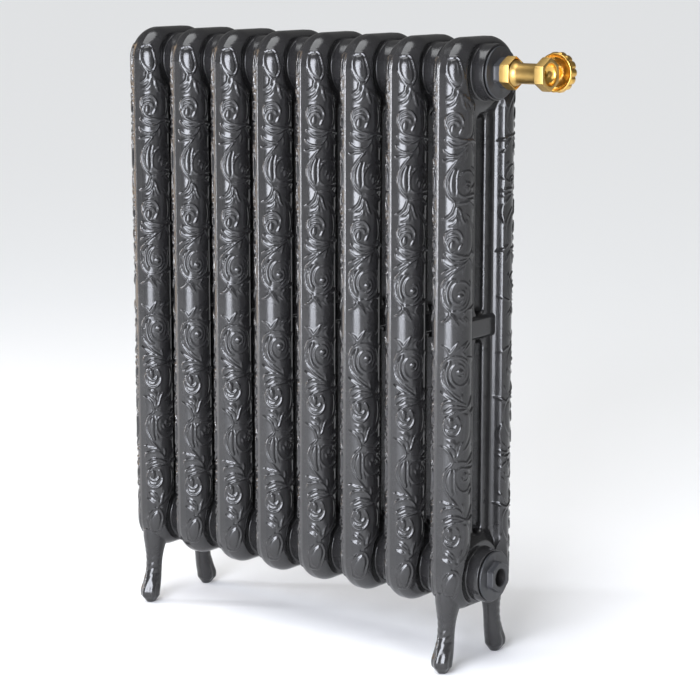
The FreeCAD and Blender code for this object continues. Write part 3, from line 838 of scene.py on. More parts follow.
class ReliefField:
    """Height of the ornament over the unrolled flank, sampled once on a fine grid."""

    step = 0.5
    across = (-2.0, 60.0)
    upward = (-2.0, 376.0)

    def __init__(self, motifs: Sequence[Motif]) -> None:
        """Raises every pillow, then every stroke."""
        self.u = np.arange(self.across[0], self.across[1], self.step)
        self.w = np.arange(self.upward[0], self.upward[1], self.step)
        self.height = np.zeros((len(self.w), len(self.u)))
        for motif in motifs:
            for pillow in motif.pillows:
                self.raise_pillow(pillow)
        self.ground = self.height.copy()
        self.beads = np.zeros_like(self.height)
        for motif in motifs:
            for stroke in motif.strokes:
                self.raise_stroke(stroke)

    def window(self, low: Array, high: Array) -> Tuple[slice, slice, Array]:
        """The part of the grid that a motif touches.

        Args:
            low: Lowest (u, w).
            high: Highest (u, w).

        Returns:
            Row slice, column slice and the (rows, columns, 2) positions.
        """
        columns = slice(max(0, int((low[0] - self.across[0]) / self.step)),
                        max(0, int((high[0] - self.across[0]) / self.step) + 2))
        rows = slice(max(0, int((low[1] - self.upward[0]) / self.step)),
                     max(0, int((high[1] - self.upward[0]) / self.step) + 2))
        grid = np.stack(np.meshgrid(self.u[columns], self.w[rows]), -1)
        return rows, columns, grid

    def raise_stroke(self, stroke: Stroke) -> None:
        """Adds a bead with tapered ends.

        Args:
            stroke: The bead.
        """
        line = spline(stroke.points, 1.0)
        gaps = np.linalg.norm(np.diff(line, axis=0), axis=1)
        run = np.concatenate([[0], np.cumsum(gaps)])
        start = np.sqrt(np.clip((run + 0.6) / max(stroke.start_taper, 1e-3), 0, 1))
        stop = np.sqrt(np.clip((run[-1] - run + 0.6) / max(stroke.end_taper, 1e-3), 0, 1))
        share = start * stop
        reach = stroke.half_width + 1.6
        for i in range(len(line) - 1):
            a, b = line[i], line[i + 1]
            rows, columns, grid = self.window(np.minimum(a, b) - reach, np.maximum(a, b) + reach)
            if grid.size == 0:
                continue
            edge = b - a
            t = np.clip(((grid - a) @ edge) / max(float(edge @ edge), 1e-9), 0, 1)
            distance = np.linalg.norm(grid - a - t[..., None] * edge, axis=-1)
            scale = share[i] + (share[i + 1] - share[i]) * t
            width = stroke.half_width * (0.45 + 0.55 * scale)
            inside = np.clip(1 - (distance / width) ** 2, 0, 1)
            bead = stroke.height * scale * inside ** 0.85
            ground = self.ground[rows, columns] * (1 - 0.35 * np.clip(1 - (distance - width) / 1.2, 0, 1))
            under = np.where(distance > width, np.minimum(self.height[rows, columns],
                                                          np.maximum(ground, self.beads[rows, columns])),
                             self.height[rows, columns])
            self.beads[rows, columns] = np.maximum(self.beads[rows, columns], bead)
            self.height[rows, columns] = np.maximum(under, bead)

    def raise_pillow(self, pillow: Pillow) -> None:
        """Adds a dome inside a closed outline.

        Args:
            pillow: The dome.
        """
        knots = pillow.outline + pillow.outline[:1]
        line = spline(knots, 1.0)
        rows, columns, grid = self.window(line.min(0) - 1, line.max(0) + 1)
        distance = np.full(grid.shape[:2], 1e9)
        crossings = np.zeros(grid.shape[:2], int)
        for a, b in zip(line[:-1], line[1:]):
            edge = b - a
            t = np.clip(((grid - a) @ edge) / max(float(edge @ edge), 1e-9), 0, 1)
            distance = np.minimum(distance, np.linalg.norm(grid - a - t[..., None] * edge, axis=-1))
            spans = (grid[..., 1] > min(a[1], b[1])) & (grid[..., 1] <= max(a[1], b[1]))
            if abs(edge[1]) > 1e-9:
                meets = a[0] + (grid[..., 1] - a[1]) / edge[1] * edge[0]
                crossings += spans & (meets > grid[..., 0])
        share = np.where(crossings % 2 == 1, np.clip(distance / pillow.shoulder, 0, 1), 0)
        dome = pillow.height * np.sqrt(np.clip(1 - (1 - share) ** 2, 0, 1))
        self.height[rows, columns] = np.maximum(self.height[rows, columns], dome)

    def at(self, u: Array, w: Array) -> Array:
        """Height at unrolled positions.

        Args:
            u: Distances across from the middle of the front.
            w: Distances up from mid height.

        Returns:
            Heights in millimetres.
        """
        x = np.clip((u - self.across[0]) / self.step, 0, len(self.u) - 1.001)
        y = np.clip((w - self.upward[0]) / self.step, 0, len(self.w) - 1.001)
        i, j = x.astype(int), y.astype(int)
        fx, fy = x - i, y - j
        h = self.height
        found = (h[j, i] * (1 - fx) * (1 - fy) + h[j, i + 1] * fx * (1 - fy)
                 + h[j + 1, i] * (1 - fx) * fy + h[j + 1, i + 1] * fx * fy)
        return np.where((u <= self.u[-2]) & (w <= self.w[-2]), found, 0.0)


def ornament() -> ReliefField:
    """The whole pattern of one quarter flank, mirrored everywhere else."""
    scroll = c_scroll()
    second_scroll = scroll.moved(150.0)
    return ReliefField([middle_leaves(), great_volute(), low_crescents(), scroll, lower_leaves(), s_belly(),
                        high_crescents(), second_scroll, upper_leaves(), web_side_leaves(), cartouche()])


# ------------------------------------------------------------------------------------ the castings
@dataclass
class SectionCasting:
    """One column section: two ornamented columns, headers, web with air slots and hub bosses."""

    height: float = 844.0
    bottom: float = 82.0
    depth: float = 143.0
    corner: float = 46.0
    hub_inset: float = 45.0
    bulb: float = 26.8
    face_half: float = 5.0
    shoulder_inset: float = 36.0
    web_inset: float = 41.6
    foot_width: float = 1.6
    foot_rise: float = 3.0
    web_half: float = 11.5
    bridge_half: float = 15.0
    slot_half: float = 10.0
    slot_edge: float = 2.0
    slot_edge_depth: float = 3.2
    slot_near: float = 16.5
    slot_far: float = 282.0
    root_radius: float = 38.5
    root_lift: float = 2.2
    dish_half: float = 18.7
    dish_rise: float = 12.0
    dish_run: float = 28.0
    boss_radius: float = 36.5
    bore: float = 20.0
    half_length: float = 37.6
    pad_half: float = 18.4
    pad_reach: float = 62.0
    pad_run: float = 20.0
    bridge_edge: float = 16.0
    bridge_run: float = 5.0
    block_top: float = 288.0
    web_shares: Tuple[float, ...] = (0.3, 0.6, 0.8)
    edge_steps: Tuple[float, ...] = (4.0, 2.6, 2.0, 1.75, 1.4, 0.7, 0.0)
    plain_margin: float = 10.5
    grain: float = 1.1
    relief: ReliefField = field(default_factory=ornament)

    @property
    def middle(self) -> float:
        """Mid height of the casting."""
        return (self.height + self.bottom) / 2

    @property
    def bulb_inset(self) -> float:
        """Depth of the bulb's centre under the front."""
        return math.sqrt(self.bulb ** 2 - self.face_half ** 2)

    @property
    def hub(self) -> float:
        """Height of the upper hub axis."""
        return self.height - self.hub_inset

    def inset(self, y: Array, z: Array) -> Array:
        """Depth under the outline, in the front upper quarter.

        Args:
            y: Depth coordinates, zero or less.
            z: Heights at or above the middle.

        Returns:
            Distances inwards from the outline.
        """
        dy = -self.depth / 2 + self.corner - y
        dz = z - self.height + self.corner
        round_part = self.corner - np.hypot(dy, dz)
        return np.where((dy > 0) & (dz > 0), round_part, np.minimum(y + self.depth / 2, self.height - z))

    def unrolled(self, inset: Array) -> Array:
        """Distance across the flank from the middle of the front.

        Args:
            inset: Depths under the outline.

        Returns:
            Arc lengths.
        """
        angle = np.arccos(np.clip((self.bulb_inset - inset) / self.bulb, -1, 1))
        return self.bulb * angle

    def slot_distance(self, y: Array, w: Array) -> Array:
        """Distance from a point of the web to the nearest air slot.

        Args:
            y: Depth coordinates.
            w: Distances from mid height.

        Returns:
            Distances, negative inside a slot.
        """
        low, high = self.slot_near + self.slot_half, self.slot_far - self.slot_half
        return np.hypot(y, w - np.clip(w, low, high)) - self.slot_half

    def half_thickness(self, y: Array, z: Array) -> Array:
        """The casting's half thickness without ornament.

        Args:
            y: Depth coordinates, zero or less.
            z: Heights at or above the middle.

        Returns:
            Half thicknesses along X.
        """
        inset = self.inset(y, z)
        w = z - self.middle
        bulb = np.sqrt(np.clip(self.bulb ** 2 - (inset - self.bulb_inset) ** 2, 0, None))
        bulb = np.maximum(bulb, self.face_half)
        edge = math.sqrt(self.bulb ** 2 - (self.shoulder_inset - self.bulb_inset) ** 2)
        run = self.web_inset - self.foot_width - self.shoulder_inset
        turn = (inset - self.shoulder_inset) / run
        t = np.clip(turn, 0, 1)
        start_slope = -(self.shoulder_inset - self.bulb_inset) / edge * run
        end_slope = -self.foot_rise / self.foot_width * run
        curve = (edge * (2 * t ** 3 - 3 * t ** 2 + 1) + start_slope * (t ** 3 - 2 * t ** 2 + t)
                 + (self.web_half + self.foot_rise) * (3 * t ** 2 - 2 * t ** 3)
                 + end_slope * (t ** 3 - t ** 2))
        left = np.clip((self.web_inset - inset) / self.foot_width, 0, 1)
        flank = np.where(turn > 0, np.where(turn > 1, self.web_half + self.foot_rise * left, curve), bulb)
        from_hub = np.hypot(y, z - self.hub)
        dished = self.dish_half + self.dish_rise * smoothstep((from_hub - self.root_radius) / self.dish_run)
        flank = soft_min(flank, dished, 1.5)
        on_bridge = smoothstep((self.bridge_edge - w) / self.bridge_run)
        on_pad = smoothstep((self.pad_reach - from_hub) / self.pad_run)
        web = self.web_half + (self.bridge_half - self.web_half) * on_bridge
        web = web + (self.pad_half - self.web_half) * on_pad
        near = np.clip(self.slot_edge - self.slot_distance(y, w), 0, self.slot_edge)
        bevel = near / self.slot_edge
        web = web - self.slot_edge_depth * 1.15 * bevel ** 2 / (bevel + 0.15)
        past = smoothstep((inset - self.shoulder_inset + 6.0) / 3.0)
        return np.where(inset > self.web_inset - 1e-3, web, np.maximum(flank, web * past))

    def outward(self, y: Array, z: Array) -> Array:
        """Unit vectors (y, z) that point out of the outline.

        Args:
            y: Depth coordinates.
            z: Heights.

        Returns:
            (…, 2) array.
        """
        dy = -self.depth / 2 + self.corner - y
        dz = z - self.height + self.corner
        size = np.maximum(np.hypot(dy, dz), 1e-6)
        in_corner = (dy > 0) & (dz > 0)
        side = (y + self.depth / 2) <= (self.height - z)
        out_y = np.where(in_corner, -dy / size, np.where(side, -1.0, 0.0))
        out_z = np.where(in_corner, dz / size, np.where(side, 0.0, 1.0))
        return np.stack([out_y, out_z], -1)

    def ornamented(self, x: Array, y: Array, z: Array, margin: float) -> Array:
        """Points pushed out by the relief.

        Args:
            x: Half thicknesses.
            y: Depth coordinates.
            z: Heights.
            margin: Distance from the middle of the front that the relief leaves plain.

        Returns:
            (…, 3) points.
        """
        inset = np.clip(self.inset(y, z), 0, None)
        angle = np.arccos(np.clip((self.bulb_inset - inset) / self.bulb, -1, 1))
        u = np.where(inset < 1e-6, x, self.bulb * angle)
        dy = -self.depth / 2 + self.corner - y
        dz = z - self.height + self.corner
        turned = np.arctan2(np.clip(dz, 0, None), np.maximum(dy, 1e-6))
        beside = (dz > 0) & (dy > 0)
        w = np.where(beside, self.height - self.corner - self.middle + self.corner * turned,
                     z - self.middle)
        rise = self.relief.at(u, w)
        rise = np.where((dz > 0) & (dy <= 0), 0.0, rise)
        rise = rise * smoothstep((self.web_inset + 0.3 - inset) / 1.5)
        if margin > 0:
            rise = rise * smoothstep((u - margin) / 2.5)
        out = self.outward(y, z)
        band = inset < 1e-6
        along_x = np.where(band, 0.0, np.sin(angle))
        along_out = np.where(band, 1.0, np.cos(angle))
        return np.stack([x + rise * along_x, y + rise * along_out * out[..., 0],
                         z + rise * along_out * out[..., 1]], -1)

    def rows(self) -> Array:
        """Heights over mid height of the column block's rows, denser round the slot ends.

        Returns:
            Increasing distances from 0 to the hub block.
        """
        plain = np.arange(0.0, self.block_top, self.grain)
        turn = np.linspace(0, math.pi / 2, 10)
        near = self.slot_near + self.slot_half * (1 - np.cos(turn))
        far = self.slot_far - self.slot_half * (1 - np.cos(turn))
        ease = np.array([11.0, 12.0, 13.0, 14.0, 15.0, 15.8])
        special = np.concatenate([near, far, ease, [283, 284, 286]])
        keep = plain[np.min(np.abs(plain[:, None] - special[None, :]), axis=1) > 0.5]
        return np.sort(np.concatenate([keep, special, [self.block_top]]))

    def insets(self) -> Array:
        """Depths of the flank's columns, evenly spaced over its arc, then down the shoulder."""
        first = math.asin(self.face_half / self.bulb)
        last = math.acos((self.bulb_inset - self.shoulder_inset) / self.bulb)
        count = int(self.bulb * (last - first) / self.grain)
        arc = self.bulb_inset - self.bulb * np.cos(np.linspace(first, last, count))
        foot = self.web_inset - self.foot_width
        return np.concatenate([arc, np.linspace(self.shoulder_inset, foot, 12)[1:],
                               np.linspace(foot, self.web_inset, 5)[1:]])

    def column_block(self, margin: float) -> Mesh:
        """The flank and web between the middle and the hub block.

        Args:
            margin: Distance from the middle of the front that the relief leaves plain.

        Returns:
            The builder.
        """
        w = self.rows()
        z = (self.middle + w)[:, None]
        front = -self.depth / 2
        low, high = self.slot_near + self.slot_half, self.slot_far - self.slot_half
        beyond = np.abs(w - np.clip(w, low, high))
        chord = np.sqrt(np.clip(self.slot_half ** 2 - beyond ** 2, 0, None))
        inner = np.where(beyond < self.slot_half, -chord, 0.0)
        web_start = front + self.web_inset
        edge_columns = inner[:, None] - np.array(self.edge_steps)[None, :]
        gap = edge_columns[:, :1] - web_start
        between = web_start + gap * np.array(self.web_shares)[None, :]
        flank = np.broadcast_to(front + self.insets()[None, :], (len(w), len(self.insets())))
        y = np.hstack([flank, between, edge_columns])
        zz = np.broadcast_to(z, y.shape)
        x = self.half_thickness(y, zz)
        mesh = Mesh()
        mesh.grid(self.ornamented(x, y, zz, margin), outward=np.array([1.0, -0.2, 0.0]))
        inside = (w >= self.slot_near - 1e-6) & (w <= self.slot_far + 1e-6)
        rim = np.stack([x[inside, -1], inner[inside], zz[inside, -1]], -1)
        floor = rim.copy()
        floor[:, 0] = 0.0
        wall = np.linspace(0, 1, 4)[None, :, None]
        mesh.grid(rim[:, None] * (1 - wall) + floor[:, None] * wall, outward=np.array([0.0, 1.0, 0.0]))
        across = np.linspace(0, self.face_half, 5)
        band_x = np.broadcast_to(across[None, :], (len(w), 5))
        band_y = np.full_like(band_x, front)
        band = self.ornamented(band_x, band_y, np.broadcast_to(z, band_x.shape), margin)
        band[..., 0] = band_x
        mesh.grid(band, outward=np.array([0.0, -1.0, 0.0]), island=1)
        return mesh

    def outline(self) -> Array:
        """The outline from the top of the header round to the top of the column block.

        Returns:
            (n, 2) points (y, z).
        """
        half = self.depth / 2
        top = np.linspace(0, -half + self.corner, 14, endpoint=False)
        turn = np.linspace(0, math.pi / 2, int(self.corner * math.pi / 2 / self.grain), endpoint=False)
        down = np.linspace(self.height - self.corner, self.middle + self.block_top, 36)
        return np.vstack([np.column_stack([top, np.full_like(top, self.height)]),
                          np.column_stack([-half + self.corner - self.corner * np.sin(turn),
                                           self.height - self.corner + self.corner * np.cos(turn)]),
                          np.column_stack([np.full_like(down, -half), down])])

    def hub_block(self, margin: float) -> Mesh:
        """The head of the section round the hub, with its boss.

        Args:
            margin: Distance from the middle of the front that the relief leaves plain.

        Returns:
            The builder.
        """
        edge = self.outline()
        block = self.column_block_top()
        rim = np.vstack([edge, block])
        angle = np.arctan2(rim[:, 1] - self.hub, -rim[:, 0])
        reach = np.hypot(rim[:, 0], rim[:, 1] - self.hub)
        fine = np.linspace(0, 1, 240)
        distance = reach[:, None] + (self.root_radius - reach)[:, None] * fine[None, :]
        y = -distance * np.cos(angle)[:, None]
        z = self.hub + distance * np.sin(angle)[:, None]
        inset = np.clip(self.inset(np.minimum(y, 0), z), 0, None)
        count = 34
        picks = np.empty((len(rim), count))
        for i in range(len(rim)):
            arc = np.concatenate([[0], np.cumsum(np.hypot(np.diff(self.unrolled(inset[i])),
                                                          np.diff(distance[i])))])
            picks[i] = np.interp(np.linspace(0, arc[-1], count), arc, distance[i])
        y = np.minimum(-picks * np.cos(angle)[:, None], 0.0)
        z = self.hub + picks * np.sin(angle)[:, None]
        x = self.half_thickness(y, z)
        x[: len(edge), 0] = self.face_half
        mesh = Mesh()
        mesh.grid(self.ornamented(x, y, z, margin), outward=np.array([1.0, 0.0, 0.0]))
        self.add_boss(mesh, angle, x[:, -1])
        across = np.linspace(0, self.face_half, 5)
        band_x = np.broadcast_to(across[None, :], (len(edge), 5))
        band_y = np.broadcast_to(edge[:, :1], band_x.shape)
        band_z = np.broadcast_to(edge[:, 1:], band_x.shape)
        out = self.outward(edge[:, 0] - 1e-9, edge[:, 1])
        face = np.stack([band_x, band_y, band_z], -1)
        mesh.grid(face, outward=np.concatenate([np.zeros((len(edge), 1)), out], -1)[:, None, :], island=1)
        return mesh

    def column_block_top(self) -> Array:
        """(y, z) of the column block's highest row, from the front inwards."""
        front = -self.depth / 2
        flank = front + self.insets()
        web_start = front + self.web_inset
        steps = np.array(self.edge_steps)
        between = web_start + (-steps[0] - web_start) * np.array(self.web_shares)
        y = np.concatenate([flank, between, -steps])[1:]
        return np.column_stack([y, np.full_like(y, self.middle + self.block_top)])

    def add_boss(self, mesh: Mesh, angle: Array, root: Array) -> None:
        """Adds the boss: a root fillet, the barrel, a broken edge, the face and the bore.

        Args:
            mesh: The builder.
            angle: Angles of the rays round the hub.
            root: Half thickness of the casting at each ray's foot.
        """
        fillet = np.linspace(0, math.pi / 2, 7)
        size = self.root_radius - self.boss_radius
        radius = [self.root_radius - size * np.sin(t) for t in fillet]
        lift = [self.root_lift * (1 - np.cos(t)) for t in fillet]
        edge = np.linspace(0, math.pi / 2, 5)
        rows = [np.column_stack([root + rise, np.full_like(root, r)]) for rise, r in zip(lift, radius)]
        for t in edge:
            rows.append(np.column_stack([np.full_like(root, self.half_length - 1.0 + np.sin(t)),
                                         np.full_like(root, self.boss_radius - 1.0 + np.cos(t))]))
        for r in (self.boss_radius - 4.0, self.bore + 1.0):
            rows.append(np.column_stack([np.full_like(root, self.half_length), np.full_like(root, r)]))
        for x in (self.half_length - 1.0, 20.0, 0.0):
            rows.append(np.column_stack([np.full_like(root, x), np.full_like(root, self.bore)]))
        rings = np.stack(rows)
        points = np.stack([rings[..., 0], np.minimum(-rings[..., 1] * np.cos(angle), 0.0),
                           self.hub + rings[..., 1] * np.sin(angle)], -1)
        away = np.stack([np.full_like(angle, 0.3), -np.cos(angle), np.sin(angle)], -1)
        mesh.grid(points, outward=away[None, :, :], island=2)

    def build(self) -> Mesh:
        """The whole section about X = 0.

        Returns:
            The builder, in millimetres, at its real height.
        """
        whole = Mesh()
        about = (0.0, 0.0, self.middle)
        for sx, margin in ((1, 0.0), (-1, self.plain_margin)):
            quarter = self.column_block(margin)
            quarter.add(self.hub_block(margin))
            for sy in (1, -1):
                for sz in (1, -1):
                    whole.add(quarter.mirrored((sx, sy, sz), about))
        return whole


@dataclass
class CastFoot:
    """A splayed foot with toes, whose front is scalloped like a leaf.

    Each station is the setback from the middle of the depth, half X, half Y and height.
    """

    stations: Tuple[Tuple[float, float, float, float], ...] = (
        (62.0, 6.2, 6.7, 0.0), (63.1, 13.3, 14.2, 9.0), (63.2, 14.2, 15.1, 15.0),
        (58.8, 13.0, 14.2, 30.0), (55.0, 11.5, 12.6, 46.0), (53.0, 11.7, 12.8, 64.0),
        (50.8, 14.4, 16.6, 84.0), (47.5, 16.8, 22.0, 98.0), (46.0, 17.4, 23.5, 112.0))
    toes: int = 3
    toe_depth: float = 1.7
    leaf_depth: float = 0.5
    bevel_top: float = 9.0

    def build(self, side: int) -> Mesh:
        """The foot's skin.

        Args:
            side: -1 for the front foot, +1 for the back one.

        Returns:
            The builder.
        """
        knots = np.asarray(self.stations)
        rise = np.concatenate([np.linspace(0, 4, 5, endpoint=False), np.arange(4.0, knots[-1, 3], 1.3)])
        centre, half_x, half_y = (self.smooth(knots[:, 3], knots[:, i], rise) for i in range(3))
        share = np.clip(rise / self.bevel_top, 0, 1)
        low = rise < self.bevel_top
        centre[low], half_x[low], half_y[low] = (knots[0, i] + (knots[1, i] - knots[0, i]) * share[low]
                                                 for i in range(3))
        turn = np.linspace(0, 2 * math.pi, 96, endpoint=False)
        x = half_x[:, None] * np.sin(turn)[None, :]
        y = half_y[:, None] * np.cos(turn)[None, :]
        forward = smoothstep((np.cos(turn) + 0.55) / 0.7)[None, :]
        splay = np.exp(-((rise - 17) / 14) ** 4)[:, None]
        toes = splay * forward * (0.5 - 0.5 * np.cos(turn[None, :] * self.toes * 2)) * self.toe_depth
        scales = np.abs(np.sin(math.pi * (rise[:, None] - 7 * np.abs(np.sin(turn))[None, :]) / 9.5))
        leaf = np.exp(-((rise - 58) / 24) ** 4)[:, None] * forward * (1 - scales) * self.leaf_depth
        grow = 1 - (toes + leaf) / np.maximum(np.hypot(x, y), 1.0)
        heights = np.broadcast_to(rise[:, None], x.shape)
        points = np.stack([x * grow, side * (centre[:, None] + y * grow), heights], -1)
        mesh = Mesh()
        away = np.stack([x, side * y, np.zeros_like(x)], -1)
        mesh.grid(points, outward=away, wrap=True)
        for row, direction in ((0, -1.0), (-1, 1.0)):
            ring = points[row]
            middle = np.broadcast_to(ring.mean(0), ring.shape)
            mesh.grid(np.stack([ring, middle]), outward=np.array([0.0, 0.0, direction]), wrap=True)
        return mesh

    @staticmethod
    def smooth(x: Array, y: Array, at: Array) -> Array:
        """A smooth curve through stations.

        Args:
            x: Station positions.
            y: Station values.
            at: Where to read it.

        Returns:
            Values.
        """
        slope = np.gradient(y, x)
        k = np.clip(np.searchsorted(x, at) - 1, 0, len(x) - 2)
        h = x[k + 1] - x[k]
        t = (at - x[k]) / h
        return (y[k] * (2 * t ** 3 - 3 * t ** 2 + 1) + h * slope[k] * (t ** 3 - 2 * t ** 2 + t)
                + y[k + 1] * (3 * t ** 2 - 2 * t ** 3) + h * slope[k + 1] * (t ** 3 - t ** 2))


@dataclass
class Row:
    """The eight castings."""

    casting: SectionCasting = field(default_factory=SectionCasting)
    foot: CastFoot = field(default_factory=CastFoot)

    def build(self, palette: Palette) -> None:
        """Makes every section, with feet under the two end ones.

        Args:
            palette: The finishes.
        """
        plain = self.casting.build()
        plain_data = plain.data("section", [palette["iron"]])
        footed = Mesh()
        footed.add(plain)
        for number, side in enumerate((-1, 1)):
            footed.add(self.foot.build(side), island_shift=10 * (number + 1))
        footed_data = footed.data("footed_section", [palette["iron"]])
        LOG.info("section: %d faces", len(plain_data.polygons))
        for index in range(1, 9):
            node = f"section_{index}"
            low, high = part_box(node)
            data = footed_data if index in (1, 8) else plain_data
            piece = place(data, f"casting_{index}", ((low.x + high.x) / 2 / MM, 0, 0))
            dress(piece, "radiator", Slot.IRON_PAINT, node)


# ----------------------------------------------------------------------------- plugs and air vent
@dataclass
class HubFitting:
    """A flanged hexagon plug or bushing screwed into a hub."""

    node: str
    flats: float
    axis: Axis
    hole: float
    flange: float = 34.0
    flange_thick: float = 3.0
    hex_length: float = 9.4
    grip: float = 15.0

    def rings(self) -> List[Ring]:
        """Stations from the thread out to the hexagon and back down the hole."""
        hex_to = self.flange_thick + self.hex_length
        corner = self.flats / math.sqrt(3.0)
        rings = [Ring(-self.grip, self.hole + 3), Ring(-self.grip, 19.6), Ring(0, 19.9)]
        rings += [Ring(0, self.flange - 0.7)] + arc_rings((0.7, self.flange - 0.7), 0.7, 180, 90, 4)
        rings += arc_rings((self.flange_thick - 1.2, self.flange - 1.2), 1.2, 90, 0, 6)
        rings += [Ring(self.flange_thick, self.flats / 2 + 2.4, self.flats + 2.4),
                  Ring(self.flange_thick + 0.5, self.flats / 2 + 2, self.flats + 0.6),
                  Ring(self.flange_thick + 1.2, corner + 1, self.flats),
                  Ring(hex_to - 2.2, corner + 1, self.flats), Ring(hex_to - 0.9, corner - 0.3, self.flats),
                  Ring(hex_to, corner - 1.8, self.flats - 0.8)]
        if self.hole > 0:
            rings += [Ring(hex_to, self.hole + 1.2, slot=0), Ring(hex_to - 1.2, self.hole, slot=1)]
            count = 60
            for along in np.linspace(hex_to - 1.5, -self.grip + 1, count):
                rings.append(Ring(along, self.hole - 0.35, slot=1, thread=0.45))
            rings.append(Ring(-self.grip, self.hole, slot=1))
        else:
            rings += [Ring(hex_to, 0.0), Ring(-self.grip, 0.0)]
        return rings

    def build(self, palette: Palette) -> None:
        """Makes the fitting in the place of its CAD node.

        Args:
            palette: The finishes.
        """
        low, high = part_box(self.node)
        height = (low.z + high.z) / 2 / MM
        inner = low.x / MM if self.axis is Axis.PLUS_X else -high.x / MM
        start = inner + self.grip + 1.0
        origin = (start if self.axis is Axis.PLUS_X else -start, 0.0, height)
        solid = Turned(self.rings(), self.axis, origin, segments=144)
        data = solid.mesh().data(self.node, [palette["plug"], palette["bore"]], crease=32)
        dress(place(data, f"{self.node}_visual"), "radiator", Slot.PLUG_IRON, self.node)


@dataclass
class FlatRing:
    """A gasket squeezed in a joint, slightly bulged at its edge."""

    node: str
    finish: str
    slot: Slot
    swell: float = 0.25

    def build(self, palette: Palette) -> None:
        """Makes the ring in the place of its CAD node.

        Args:
            palette: The finishes.
        """
        low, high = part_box(self.node)
        thick = (high.x - low.x) / MM
        outer = (high.z - low.z) / 2 / MM
        centre = (low.x / MM, 0.0, (low.z + high.z) / 2 / MM)
        rings = [Ring(0, outer - 9.5), Ring(0, outer - self.swell)]
        rings += [Ring(thick / 2 + thick / 2 * math.sin(a), outer - self.swell + self.swell * math.cos(a))
                  for a in np.linspace(-math.pi / 2, math.pi / 2, 6)]
        rings += [Ring(thick, outer - 9.5)]
        mesh = Turned(rings, Axis.PLUS_X, centre, segments=96).mesh()
        data = mesh.data(self.node, [palette[self.finish]], crease=40)
        dress(place(data, f"{self.node}_visual"), "radiator", self.slot, self.node)


@dataclass
class AirVent:
    """Brass air vent with a square-headed bleed screw."""

    flats: float = 15.0
    head: float = 5.0
    grip: float = 9.0
    screw_radius: float = 3.0
    square: float = 4.2
    proud: float = 3.0

    def squared(self, angles: Array, ring: Ring) -> Array:
        """Radius of a ring of the screw, clipped to a square where its flats field is set.

        Args:
            angles: Angles round the screw.
            ring: The station.

        Returns:
            Radii.
        """
        round_part = np.full_like(angles, ring.radius)
        if ring.flats <= 0:
            return round_part
        sector = np.mod(angles + math.pi / 4, math.pi / 2) - math.pi / 4
        return np.minimum(ring.flats / 2 / np.cos(sector), round_part)

    def build(self, palette: Palette) -> None:
        """Makes the vent body and its screw.

        Args:
            palette: The finishes.
        """
        low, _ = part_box("air_vent")
        height = (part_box("vent_plug")[0].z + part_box("vent_plug")[1].z) / 2 / MM
        seat = low.x / MM + self.head
        corner = self.flats / math.sqrt(3.0)
        rings = [Ring(-self.grip, 3.2), Ring(-self.grip, 5.9), Ring(0, 5.9), Ring(0, corner - 0.9),
                 Ring(0.5, corner + 0.2, self.flats), Ring(self.head - 1.0, corner + 0.2, self.flats),
                 Ring(self.head, corner - 1.2, self.flats), Ring(self.head, 3.9),
                 Ring(self.head - 0.5, 3.15), Ring(self.head - 6.0, 3.1)]
        body = Turned(rings, Axis.MINUS_X, (seat, 0.0, height), segments=96).mesh()
        dress(place(body.data("air_vent", [palette["brass"]], crease=32), "air_vent_visual"), "radiator",
              Slot.BRASS, "air_vent")
        low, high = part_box("bleed_screw")
        half = self.square / 2
        end = (high.x - low.x) / MM

        rings = [Ring(0, 0.0), Ring(0, 2.2), Ring(0.8, 2.9), Ring(end - self.proud + 0.4, 2.9),
                 Ring(end - self.proud + 0.5, half * 1.34, self.square),
                 Ring(end - 0.5, half * 1.34, self.square),
                 Ring(end, half * 1.15, self.square - 0.6), Ring(end, 0.0)]
        solid = Turned(rings, Axis.MINUS_X, (high.x / MM, 0.0, height), segments=96,
                       lobes=self.squared)
        data = solid.mesh().data("bleed_screw", [palette["steel"]], crease=30)
        dress(place(data, "bleed_screw_visual"), "bleed_screw", Slot.STEEL, "bleed_screw")


# ------------------------------------------------------------------------------------------- valve
@dataclass
class UnionNut:
    """Hexagon union nut whose outer face flares down to the barrel."""

    flats: float = 38.0
    length: float = 14.0
    bore: float = 15.1

    def build(self, palette: Palette) -> None:
        """Makes the nut.

        Args:
            palette: The finishes.
        """
        low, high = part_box("union_nut")
        centre = (low.x / MM, 0.0, (low.z + high.z) / 2 / MM)
        corner = self.flats / math.sqrt(3.0)
        end = self.length
        rings = [Ring(0, 12.5), Ring(0, 19.2), Ring(0.1, corner - 0.8, self.flats),
                 Ring(0.7, corner + 0.5, self.flats), Ring(end - 0.7, corner + 0.5, self.flats),
                 Ring(end - 0.15, corner - 0.3, self.flats - 0.5, slot=1),
                 Ring(end, corner - 1.2, self.flats - 1.6, slot=1)]
        inside = ((end - 0.2, 18.4), (end - 0.8, 17.6), (end - 1.6, 16.4), (end - 2.0, self.bore),
                  (end - 8, self.bore), (2.0, self.bore), (2.0, 12.5))
        rings += [Ring(along, radius, slot=1) for along, radius in inside]
        data = Turned(rings, Axis.PLUS_X, centre, segments=192).mesh().data(
            "union_nut", [palette["satin"], palette["brass"]], crease=28)
        dress(place(data, "union_nut_visual"), "radiator", Slot.BRASS, "union_nut")


